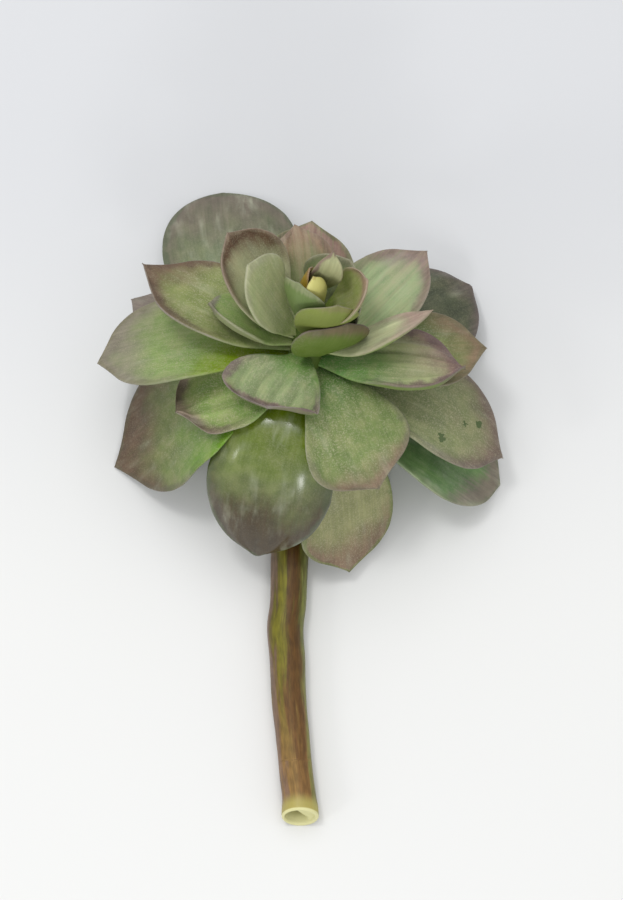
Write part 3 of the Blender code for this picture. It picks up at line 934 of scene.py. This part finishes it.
def skin_finish(name, skin):
    """The material of one leaf."""
    made, tree, shader = blank_finish(name, skin.rough)
    leaf = LeafPaint(tree, skin)
    colour = aged(leaf)
    for paint_step in PAINT_STEPS:
        colour = paint_step(leaf, colour)
    richer = add(tree, "ShaderNodeHueSaturation")
    richer.inputs["Saturation"].default_value = SATURATION
    richer.inputs["Value"].default_value = skin.bright
    feed(tree, richer.inputs["Color"], colour)
    feed(tree, shader.inputs["Base Color"], richer.outputs["Color"])
    worn = step(tree, leaf.cloud, 0.3, 0.7, skin.rough + 0.06, skin.rough - 0.08)
    feed(tree, shader.inputs["Roughness"], worn)
    shader.inputs["Specular IOR Level"].default_value = SKIN_SPECULAR
    shader.inputs["Coat Weight"].default_value = skin.coat
    shader.inputs["Coat Roughness"].default_value = COAT_ROUGHNESS
    relief = total(tree, product(tree, leaf.speck, 0.35), product(tree, leaf.fibre, 0.8))
    bumped(tree, shader, relief, SKIN_BUMP, SKIN_BUMP_DEPTH)
    return made


print("steps after the first:", [paint_step.__name__ for paint_step in PAINT_STEPS])

# %% [markdown]
# ## Each leaf's own colours
#
# No two leaves have aged alike: the lowest are glossy and dark toward their ends, those in the
# shade stay bright green, and the inner ones are pale. Each gets its own colours: first those of
# its root, its body, its end and the band inside its rim.

# %% Colours of the outer leaves
SKINS = {
    # Its broad pale patches are painted highlight, the soft whitish spots of its gloss.
    "outer_leaf_1": Skin(
        (100, 120, 16), (95, 107, 60), (60, 48, 28), (74, 88, 58),
        rim=(100, 108, 84), root_until=0.55, end_from=0.4, end_full=0.84, dust=0.15, scuffs_and_sheen=0.4,
        powder=0.12, rough=0.4, coat=0.7, bright=1.0,
    ),
    "outer_leaf_2": Skin(
        (100, 116, 60), (144, 146, 106), (124, 106, 90), (100, 122, 70),
        edge_mm=1.8, powder=0.6,
    ),
    "outer_leaf_3": Skin(
        (106, 146, 50), (112, 130, 74), (92, 76, 62), (88, 84, 68),
        rim=(126, 112, 110), root_until=0.6, end_from=0.42, end_full=0.95, side_pull=-0.14, powder=0.3,
        rough=0.48, coat=0.15,
    ),
    "outer_leaf_4": Skin(
        (128, 152, 32), (142, 164, 104), (128, 122, 108), (118, 114, 92),
        root_until=0.5, end_from=0.5, side_pull=-0.08,
    ),
    "outer_leaf_5": Skin(
        (120, 124, 90), (130, 122, 108), (126, 116, 108), (122, 114, 106),
        end_from=0.4, powder=0.3,
    ),
    # Its broad pale patches are painted highlight, the soft whitish spots of its gloss.
    "outer_leaf_6": Skin(
        (68, 96, 44), (96, 112, 74), (108, 100, 88), (84, 96, 70),
        rim=(116, 128, 100), end_from=0.5, dust=0.2, scuffs_and_sheen=0.6, powder=0.2, rough=0.4, coat=0.6,
        bright=0.96,
    ),
    # Its near-black root, drawn almost to its end, is partly the leaf's own dark green and partly
    # painted shade where middle_leaf_5 overhangs it.
    "outer_leaf_7": Skin(
        (40, 50, 28), (62, 68, 46), (86, 76, 68), (92, 80, 76),
        rim=(126, 112, 116), root_until=0.95, end_from=0.78, end_full=1.1, dust=0.1, powder=0.12,
        rough=0.42, coat=0.5, bright=0.98,
    ),
    "outer_leaf_8": Skin(
        (60, 92, 36), (134, 142, 102), (112, 98, 88), (112, 102, 94),
        root_until=0.42, end_from=0.6, side_pull=0.05, powder=0.6,
        rubs=((-9.0, 36.4, 1.6), (3.1, 47.4, 1.1), (0.0, 43.2, 0.7)),
    ),
    "outer_leaf_9": Skin(
        (80, 112, 60), (98, 130, 80), (120, 112, 98), (110, 116, 92),
        root_until=0.5, end_from=0.74, end_full=0.92, dust=0.1, scuffs_and_sheen=0.45, powder=0.15, rough=0.45,
        coat=0.25, bright=1.15,
    ),
    "outer_leaf_10": Skin((92, 120, 60), (104, 126, 76), powder=0.2),
}
print("outer skins:", len(SKINS))

# %% Colours of the middle leaves
SKINS |= {
    "middle_leaf_1": Skin(
        (138, 156, 100), (132, 142, 92), (104, 88, 72), (98, 80, 68),
        end_from=0.6, end_full=0.98, edge_mm=3.6, edge_share=0.7, rim_share=0.7, powder=0.38,
    ),
    # Its pale body and a bright of 1.2 are partly its own colour and partly painted light on a steep
    # face turned from the light.
    "middle_leaf_2": Skin(
        (132, 146, 100), (166, 168, 134), (84, 66, 52), (128, 114, 98),
        rim=(150, 138, 130), end_from=0.58, end_full=0.92, powder=0.5, bright=1.2,
    ),
    "middle_leaf_3": Skin(
        (118, 146, 78), (146, 154, 112), (150, 128, 108), (128, 110, 100),
        end_from=0.6, end_full=0.98, streaks=0.45, powder=0.35, bright=1.0,
    ),
    "middle_leaf_4": Skin(
        (118, 146, 80), (134, 146, 102), (142, 118, 108), (108, 122, 86),
        rim=(120, 130, 104), end_from=0.5, end_full=0.85, streaks=0.4, powder=0.35, bright=1.0,
    ),
    "middle_leaf_5": Skin(
        (106, 148, 76), (158, 174, 134), (134, 118, 112), (136, 120, 108),
        end_from=0.68, edge_mm=3.4, streaks=0.25, powder=0.3, bright=1.02,
    ),
    "middle_leaf_6": Skin(
        (160, 170, 124), (172, 176, 142), (150, 130, 120), (150, 138, 122),
        rim=(132, 118, 108), end_from=0.72, powder=0.35, bright=1.22,
    ),
    "middle_leaf_7": Skin(
        (108, 150, 84), (156, 158, 122), (118, 98, 92), (110, 92, 90),
        rim=(112, 96, 98), root_until=0.75, edge_mm=4.0, edge_share=0.9, side_pull=0.16,
    ),
    "middle_leaf_8": Skin(
        (92, 120, 60), (106, 124, 72), (128, 110, 90), (112, 108, 84),
        end_from=0.6, powder=0.4, bright=0.98,
    ),
    "middle_leaf_9": Skin(
        (96, 126, 72), (116, 132, 84), (124, 108, 92), (122, 118, 100),
        end_from=0.66, end_full=1.02,
    ),
    "middle_leaf_10": Skin(
        (110, 144, 80), (130, 144, 104), (120, 106, 98), (116, 102, 98),
        rim=(156, 148, 148), end_from=0.88, edge_mm=3.0, edge_share=0.9, bright=1.0,
    ),
    "middle_leaf_11": Skin(
        (96, 136, 58), (124, 144, 88), (120, 108, 94), (116, 104, 92),
        end_from=0.72, edge_mm=3.6, edge_share=0.9, powder=0.5, bright=1.16,
    ),
    "middle_leaf_12": Skin(
        (140, 160, 102), (132, 154, 92), (118, 114, 98), (110, 108, 88),
        under=(108, 112, 82), end_from=0.98, end_full=1.1, edge_mm=3.2, edge_side=1.0, powder=0.4,
        bright=1.18,
    ),
}
print("outer and middle skins:", len(SKINS))

# %% Colours of the inner leaves and the heart
SKINS |= {
    "inner_leaf_1": Skin(
        (144, 158, 104), (156, 164, 122), (156, 158, 128), (148, 150, 120),
        end_from=0.85, edge_mm=1.6, bright=1.2,
    ),
    "inner_leaf_2": Skin(
        (112, 132, 74), (126, 142, 90), (150, 154, 120), (144, 150, 116),
        under=(104, 122, 76), end_from=0.85, edge_mm=1.0, powder=0.5, bright=0.98,
    ),
    # Its pale root is partly its own colour and partly painted light against the shade deep in the
    # heart.
    "inner_leaf_3": Skin(
        (176, 184, 112), (178, 180, 140), (96, 72, 72), (126, 108, 98),
        rim=(122, 104, 98), under=(136, 152, 84), end_from=0.95, end_full=1.04, edge_mm=1.5,
        edge_share=0.9, edge_side=1.0, side_reach=0.03, drift=0.02, powder=0.1, bright=1.06,
    ),
    "inner_leaf_4": Skin(
        (120, 146, 84), (136, 150, 112), (138, 138, 116), (136, 132, 110),
        end_from=0.7, edge_mm=1.6, powder=0.4, bright=1.1,
    ),
    # Its bright of 1.15 is partly its own pale colour and partly painted light against the shade in its
    # cup.
    "inner_leaf_5": Skin(
        (128, 150, 70), (142, 152, 92), (146, 126, 106), (146, 128, 112),
        rim=(142, 130, 116), under=(126, 140, 84), end_from=0.72, edge_mm=1.6, rim_mm=0.6,
        rim_share=0.5, side_reach=0.08, drift=0.04, powder=0.3, bright=1.15,
    ),
    "inner_leaf_6": Skin(
        (112, 132, 62), (124, 136, 74), (126, 122, 84), (126, 122, 94),
        rim=(136, 132, 124), under=(118, 128, 68), end_from=0.85, edge_mm=0.9, dust=0.15,
        side_reach=0.05, drift=0.03, powder=0.4, bright=0.95,
    ),
    "inner_leaf_7": Skin(
        (84, 112, 40), (92, 108, 54), (110, 88, 78), (108, 88, 80),
        rim=(128, 116, 122), under=(92, 112, 48), end_from=0.55, edge_mm=2.6, edge_share=0.8,
        rim_mm=0.5, dust=0.15, powder=0.4, bright=0.9,
    ),
    "heart": Skin(
        (176, 176, 100), (190, 184, 118), (178, 160, 100), (170, 156, 96),
        under=(200, 196, 132), end_from=0.95, edge_mm=0.7, dust=0.0, side_reach=0.02, drift=0.02,
        powder=0.05, rough=0.45, bright=1.05,
    ),
    "heart_amber": Skin(
        (158, 142, 60), (160, 136, 64), (142, 112, 92), (140, 112, 80),
        under=(156, 132, 66), end_from=0.8, edge_mm=1.2, dust=0.0, side_reach=0.02, drift=0.02,
        powder=0.1, rough=0.5, bright=1.0,
    ),
}
print("all skins:", len(SKINS))

# %% Grow every leaf and dress it
SEED_STEP = 11.0
for number, leaf in enumerate(LEAVES):
    plain_name = leaf.name.replace("_", " ")
    finish = skin_finish("skin of " + plain_name, SKINS[leaf.name])
    finish_piece(grow_leaf(leaf, SEED_STEP * number), "skin_" + leaf.name, finish, leaf.name)
print("leaves grown:", len(LEAVES))

# %% [markdown]
# ## The heart
#
# In the middle two tiny leaves stand at the growing tip, one yellow-green and one amber. They are
# grown like the others, and the tip is a squashed ball that hides where they meet.

# %% The growing tip and its two youngest leaves
HEART_HEIGHT = 36.3
HEART_RADIUS = 3.3
HEART_DEPTH = 1.9
HEART_SEED = 400.0
heart_finishes = {
    "heart_front": skin_finish("skin of the heart", SKINS["heart"]),
    "heart_amber": skin_finish("skin of the amber leaf", SKINS["heart_amber"]),
}

tip_work = bmesh.new()
bmesh.ops.create_uvsphere(tip_work, u_segments=32, v_segments=20, radius=1.0)
tip_work.transform(
    Matrix.Translation(CROWN_FOOT + AXIS * HEART_HEIGHT)
    @ AXIS.to_track_quat("Z", "Y").to_matrix().to_4x4()
    @ Matrix.Diagonal((HEART_RADIUS, HEART_RADIUS, HEART_DEPTH, 1.0))
)
finish_piece(tip_work, "growing_tip", heart_finishes["heart_front"], "heart")

for number, leaf in enumerate(HEART_LEAVES):
    work = grow_leaf(leaf, HEART_SEED + number)
    finish_piece(work, "skin_" + leaf.name, heart_finishes[leaf.name], None)
print("heart leaves:", len(HEART_LEAVES))

# %% [markdown]
# ## The stem
#
# The bare stem lies on the surface and bends up into the crown. It is a soft tube with its flesh
# pulled slightly flat where it lies. A grid of rings wrapped round a smooth route gives it, and
# the last rings turn over the cut's lip and go down inside, so the hollow end is part of the same
# closed skin.

# %% The route through the crown, the bend and the lying part
STEM_FLAT_DEPTH = 0.16
CROWN_ROUTE_HEIGHTS = (34.0, 23.0, 11.0, 0.0, -4.0)
STEM_BEND = ((-0.9, 20.0, 17.2, 5.7), (-1.6, 10.0, 8.6, 5.3))
STEM_LYING = (
    (-2.2, -3.0, 5.2),
    (-2.6, -14.0, 5.15),
    (-2.9, -26.0, 5.0),
    (-3.7, -34.0, 5.0),
    (-3.2, -43.0, 4.9),
    (-2.7, -53.0, 4.8),
    (-1.9, -62.0, 4.7),
    (-0.8, -73.0, 4.65),
    (0.1, -80.0, 4.75),
    (0.4, -84.0, 5.15),
    (0.4, -92.0, 5.15),
)
CUT_LIP_TOP = Vector((0.4, -83.4, 10.2))
CUT_ANGLE = math.radians(25.0)


def stem_stops():
    """The route's points with their radii, from the crown's top to beyond the cut."""
    stops = [(CROWN_FOOT + AXIS * height, crown_radius(height)) for height in CROWN_ROUTE_HEIGHTS]
    stops += [(Vector((x, y, z)), radius) for x, y, z, radius in STEM_BEND]
    stops += [(Vector((x, y, radius - STEM_FLAT_DEPTH)), radius) for x, y, radius in STEM_LYING]
    return stops


def through(values, part):
    """A value between the middle two of four, on the smooth curve through them."""
    a, b, c, d = values
    return 0.5 * (
        2.0 * b + (c - a) * part + (2.0 * a - 5.0 * b + 4.0 * c - d) * part**2
        + (3.0 * b - a - 3.0 * c + d) * part**3
    )


def stem_route(steps):
    """Evenly cut points and radii along the whole route."""
    stops = stem_stops()
    route = []
    for index in range(len(stops) - 1):
        near = [stops[min(max(index + shift, 0), len(stops) - 1)] for shift in (-1, 0, 1, 2)]
        for part in range(steps):
            share = part / steps
            place = Vector([through([stop[0][k] for stop in near], share) for k in range(3)])
            route.append((place, through([stop[1] for stop in near], share)))
    route.append(stops[-1])
    return route


route = stem_route(12)
print("stem route:", len(route), "rings from", [round(v, 1) for v in route[0][0]])

# %% Where each ring of the stem's skin goes
STEM_SIDES = 56
WALL_END = -70.0
LIP_RINGS = 9
HOLLOW_RINGS = 12
END_ROWS = 26
LIP_BULGE = 0.7


def tube_ring(index, turn):
    """A point on the round stem at a ring of the route."""
    place, radius = route[index]
    ahead = route[min(index + 1, len(route) - 1)][0] - route[max(index - 1, 0)][0]
    way = ahead.normalized()
    right = Vector((0.0, 0.0, 1.0)).cross(way).normalized()
    up = way.cross(right)
    return place + right * (radius * math.cos(turn)) + up * (radius * math.sin(turn))


def lying_tube(y, turn, inward=0.0):
    """A point on the lying stem at a place along it, drawn in from its surface by a distance."""
    index = next(k for k, (place, _) in enumerate(route) if place.y <= y)
    before, after = route[index - 1], route[index]
    part = (before[0].y - y) / (before[0].y - after[0].y)
    place = before[0].lerp(after[0], part)
    radius = before[1] + (after[1] - before[1]) * part - inward
    return Vector((place.x + radius * math.cos(turn), y, place.z + radius * math.sin(turn)))


def on_cut(turn, inward=0.0, back=0.0):
    """The point of the lying stem at which it meets the slanted cut, set back by a distance."""
    y = CUT_LIP_TOP.y
    for _ in range(6):
        point = lying_tube(y, turn, inward)
        below_lip = point.z - CUT_LIP_TOP.z
        y = CUT_LIP_TOP.y + math.tan(CUT_ANGLE) * below_lip + back / math.cos(CUT_ANGLE)
    return lying_tube(y, turn, inward)


wall_rings = [k for k, (place, _) in enumerate(route) if place.y > WALL_END]
cut_ends = [round(on_cut(turn).y, 1) for turn in (0.5 * math.pi, -0.5 * math.pi)]
print("the cut runs from", cut_ends[0], "to", cut_ends[1], "mm")

# %% The rows that turn over the lip and go down the hollow
LIP_WALL = 1.15
LIP_WALL_SWING = 0.2
HOLLOW_MIDDLE = 4.95
HOLLOW_MIDDLE_HEIGHT = 4.8
HOLLOW_RIM_DEPTH = 0.6
HOLLOW_DEPTH = 8.0
HOLLOW_DROP = 0.15
run = [0.0]
for k in range(1, len(route)):
    run.append(run[-1] + (route[k][0] - route[k - 1][0]).length)


def hollow_point(share, turn, mouth):
    """A point of the hollow's skin and how deep it lies: deepest on the side away from the lean."""
    inward = mouth + (HOLLOW_MIDDLE - mouth) * share**1.4
    point = on_cut(turn, inward, LIP_BULGE)
    aside = 0.24 * (point.x - CUT_LIP_TOP.x) + 0.17 * (point.z - HOLLOW_MIDDLE_HEIGHT)
    deep = HOLLOW_RIM_DEPTH + (HOLLOW_DEPTH - HOLLOW_RIM_DEPTH) * smooth_step(0.1, -0.6, aside)
    deep *= math.sin(0.5 * math.pi * min(share * 1.8, 1.0))
    return point + Vector((0.0, deep, -HOLLOW_DROP * deep)), deep


def stem_point(row, turn):
    """A row's point, its distance from the cut and how far inside the hollow it lies."""
    if row < len(wall_rings):
        index = wall_rings[row]
        point = route[0][0] if row == 0 else tube_ring(index, turn)
        return point, run[-1] - run[index], 0.0
    row -= len(wall_rings)
    if row < END_ROWS:
        rim = on_cut(turn, 0.0, LIP_BULGE)
        y = WALL_END + (rim.y - WALL_END) * (row + 1) / END_ROWS
        return lying_tube(y, turn), y - rim.y, 0.0
    row -= END_ROWS
    mouth = LIP_WALL + LIP_WALL_SWING * math.cos(turn)
    if row < LIP_RINGS:
        angle = math.pi * (row + 1) / LIP_RINGS
        inward = 0.5 * mouth * (1.0 - math.cos(angle))
        point = on_cut(turn, inward, LIP_BULGE * (1.0 - math.sin(angle)))
        return point, 0.0, 0.25 + 0.25 * row / LIP_RINGS
    point, deep = hollow_point((row - LIP_RINGS + 1) / HOLLOW_RINGS, turn, mouth)
    return point, 0.0, 0.5 + 0.5 * min(deep / HOLLOW_DEPTH, 1.0)


print("along the route the stem is", round(run[-1], 1), "mm long")

# %% [markdown]
# A grid rolled into a tube is the quickest closed skin: its columns go round the stem and its rows
# go along it. The first and the last row shrink to a point and are merged, and so is the seam.

# %% Roll a grid into the stem
BARK_WAVE = 0.22
MERGE_DISTANCE = 0.002
rows = len(wall_rings) + END_ROWS + LIP_RINGS + HOLLOW_RINGS
stem_work = bmesh.new()
bmesh.ops.create_grid(stem_work, x_segments=rows - 1, y_segments=STEM_SIDES, size=1.0)
skin = stem_work.verts.layers.float_vector.new("skin")
mark = stem_work.verts.layers.float_vector.new("mark")
for vert in stem_work.verts:
    row = round((vert.co.x + 1.0) * 0.5 * (rows - 1))
    turn = (vert.co.y + 1.0) * math.pi
    point, from_cut, inside = stem_point(row, turn)
    wave = noise.noise(Vector((math.cos(turn) * 1.2, point.y * 0.11, math.sin(turn) * 1.2)))
    if 0 < row < len(wall_rings) + END_ROWS:
        point.x += BARK_WAVE * wave
    vert[skin] = Vector((math.cos(turn), from_cut, math.sin(turn)))
    vert[mark] = Vector((from_cut, inside, 0.0))
    point.z = max(point.z, 0.0)
    vert.co = point
bmesh.ops.remove_doubles(stem_work, verts=stem_work.verts, dist=MERGE_DISTANCE)
bmesh.ops.holes_fill(stem_work, edges=[edge for edge in stem_work.edges if edge.is_boundary], sides=0)
bmesh.ops.recalc_face_normals(stem_work, faces=stem_work.faces)
open_edges = sum(edge.is_boundary for edge in stem_work.edges)
print("stem faces:", len(stem_work.faces), "open edges:", open_edges)

# %% [markdown]
# ## The stem's bark
#
# The bark is thin and half clear. Red-brown runs down it in long streaks over yellow-green flesh,
# the left side is mauve, the right side stays green, and it pales toward the crown. The cut has
# dried to a pale cream lip round a hollow that goes olive with depth.

# %% Noises that run along the stem
bark, tree, shader = blank_finish("bark of the stem", 0.42)
skin_at = attribute_at(tree, "skin")
aside = parts_of(tree, skin_at)[0]
from_cut, inside, _ = parts_of(tree, attribute_at(tree, "mark"))
broad = grain(tree, skin_at, 1.0, 2.0, (2.2, 0.045, 1.2))
fine = grain(tree, skin_at, 1.0, 3.0, (7.0, 0.1, 5.0))
hair = grain(tree, skin_at, 1.0, 2.0, (26.0, 0.22, 20.0))
blotch = grain(tree, skin_at, 1.0, 4.0, (5.0, 0.3, 4.0))
broad_shift = step(tree, broad, *NOISE_SPAN, -0.3, 0.3)
shifted = total(tree, aside, broad_shift, step(tree, fine, *NOISE_SPAN, -0.12, 0.12))
print("noises along the stem:", 4)

# %% Streaks of green, red and mauve, and the cut's cream
green_share = product(
    tree, step(tree, shifted, -0.85, -0.35), step(tree, shifted, 0.2, -0.25),
    step(tree, from_cut, 20.0, 55.0, 0.1, 0.75),
)
red_share = product(
    tree, step(tree, shifted, -0.2, 0.25), step(tree, shifted, 0.85, 0.4),
    step(tree, from_cut, 0.0, 30.0, 0.3, 0.75),
)
colour = mixed(tree, step(tree, from_cut, 18.0, 62.0), paint(130, 98, 54), paint(80, 68, 22))
colour = mixed(tree, green_share, colour, paint(116, 112, 26))
colour = mixed(tree, red_share, colour, paint(88, 56, 24))
colour = mixed(tree, step(tree, shifted, 0.6, 0.95, 0.0, 0.7), colour, paint(116, 122, 56))
colour = mixed(tree, step(tree, shifted, -0.55, -0.95, 0.0, 0.8), colour, paint(118, 94, 78))
colour = toned(tree, colour, hair, 0.3, 0.7, 0.86, 1.1)
colour = toned(tree, colour, blotch, 0.3, 0.7, 0.78, 1.14)
colour = mixed(tree, step(tree, from_cut, 84.0, 102.0), colour, paint(74, 92, 36))
colour = mixed(tree, step(tree, from_cut, 4.5, 0.8, 0.0, 0.75), colour, paint(176, 166, 92))
cream = mixed(tree, step(tree, inside, 0.5, 0.85), paint(208, 204, 150), paint(128, 122, 44))
colour = mixed(tree, step(tree, inside, 0.02, 0.3), colour, cream)
feed(tree, shader.inputs["Base Color"], colour)
shader.inputs["Specular IOR Level"].default_value = 0.3
bumped(tree, shader, total(tree, fine, product(tree, hair, 0.4)), 0.3, 0.0003)
finish_piece(stem_work, "stem_skin", bark, "stem")
print("bark:", len(tree.nodes), "nodes")

# %% [markdown]
# ## The surface and the light
#
# The plant lies on a near-white surface in soft light, whose colour darkens a little beyond the
# rosette as painted shade of the light falling off there. A broad source nearly overhead, set a
# little beyond the rosette, gives the soft shadows, three small ones give the gloss on the oldest
# leaves, and a bright surround keeps every shadow open.

# %% The surface, its colour a little darker beyond the rosette as painted shade
GROUND_HALF_SIDE = 1.2
GROUND_NEAR = (218, 218, 216)
GROUND_FAR_PAINTED_SHADE = (203, 204, 206)
ground_work = bmesh.new()
bmesh.ops.create_grid(ground_work, x_segments=1, y_segments=1, size=GROUND_HALF_SIDE)
ground_mesh = bpy.data.meshes.new("surface")
ground_work.to_mesh(ground_mesh)
ground_work.free()
ground = bpy.data.objects.new("surface", ground_mesh)
bpy.context.scene.collection.objects.link(ground)
pale, tree, shader = blank_finish("pale surface", 0.6)
away = parts_of(tree, add(tree, "ShaderNodeTexCoord").outputs["Object"])[1]
# Painted shade: the colour darkens beyond the rosette where the light falls off.
tone = mixed(tree, step(tree, away, -0.04, 0.11), paint(*GROUND_NEAR), paint(*GROUND_FAR_PAINTED_SHADE))
feed(tree, shader.inputs["Base Color"], tone)
shader.inputs["Specular IOR Level"].default_value = 0.2
ground_mesh.materials.append(pale)
print("surface half side:", GROUND_HALF_SIDE, "m")

# %% The surround and the lights, in metres
SURROUND_COLOUR = (0.97, 0.98, 1.0, 1.0)
SURROUND_POWER = 0.72
KEY_WAY = (0.04, -0.46, -0.88)
KEY_POWER = 0.95
KEY_WIDTH = 46.0
SOFT_LIGHTS = (
    ("front", (0.08, -0.8, 0.5), (0.04, -0.06, 0.0), 0.2, 2.0),
    ("side", (-0.62, -0.3, 0.5), (0.0, 0.0, 0.02), 0.14, 0.6),
    ("top", (-0.2, 0.28, 0.85), (0.0, 0.02, 0.03), 0.13, 1.6),
)
world = bpy.data.worlds.new("surround")
world.use_nodes = True
bpy.context.scene.world = world
glow = world.node_tree.nodes["Background"]
glow.inputs["Color"].default_value = SURROUND_COLOUR
glow.inputs["Strength"].default_value = SURROUND_POWER


def light(name, kind, way):
    """A light that shines along a direction."""
    data = bpy.data.lights.new(name, kind)
    lamp = bpy.data.objects.new(name, data)
    bpy.context.scene.collection.objects.link(lamp)
    lamp.rotation_euler = Vector(way).to_track_quat("-Z", "Y").to_euler()
    return lamp, data


key = light("key", "SUN", KEY_WAY)[1]
key.energy = KEY_POWER
key.angle = math.radians(KEY_WIDTH)
for name, place, aim, size, power in SOFT_LIGHTS:
    lamp, data = light(name, "AREA", Vector(aim) - Vector(place))
    lamp.location = place
    data.size = size
    data.energy = power
print("lights:", 1 + len(SOFT_LIGHTS))

# %% [markdown]
# ## The camera
#
# The photograph looks almost straight down from a little below the rosette's middle. The distance
# and the lens were found from the stem and the crown, which are at different heights.

# %% Camera
LENS = 85.71
SENSOR_HEIGHT = 24.0
eye = Vector((2.75, -78.17, 895.1)) * MM
aim = Vector((2.75, 15.90, 0.0)) * MM
camera_data = bpy.data.cameras.new("camera")
camera_data.sensor_fit = "VERTICAL"
camera_data.sensor_height = SENSOR_HEIGHT
camera_data.lens = LENS
camera = bpy.data.objects.new("camera", camera_data)
bpy.context.scene.collection.objects.link(camera)
camera.location = eye
back = (eye - aim).normalized()
right = Vector((0.0, 1.0, 0.0)).cross(back).normalized()
turn = Matrix((right, back.cross(right), back)).transposed()
camera.rotation_euler = turn.to_euler()
bpy.context.scene.camera = camera
bpy.context.scene.view_settings.view_transform = "Standard"
print("camera", [round(v, 3) for v in eye], "looks at", [round(v, 3) for v in aim])
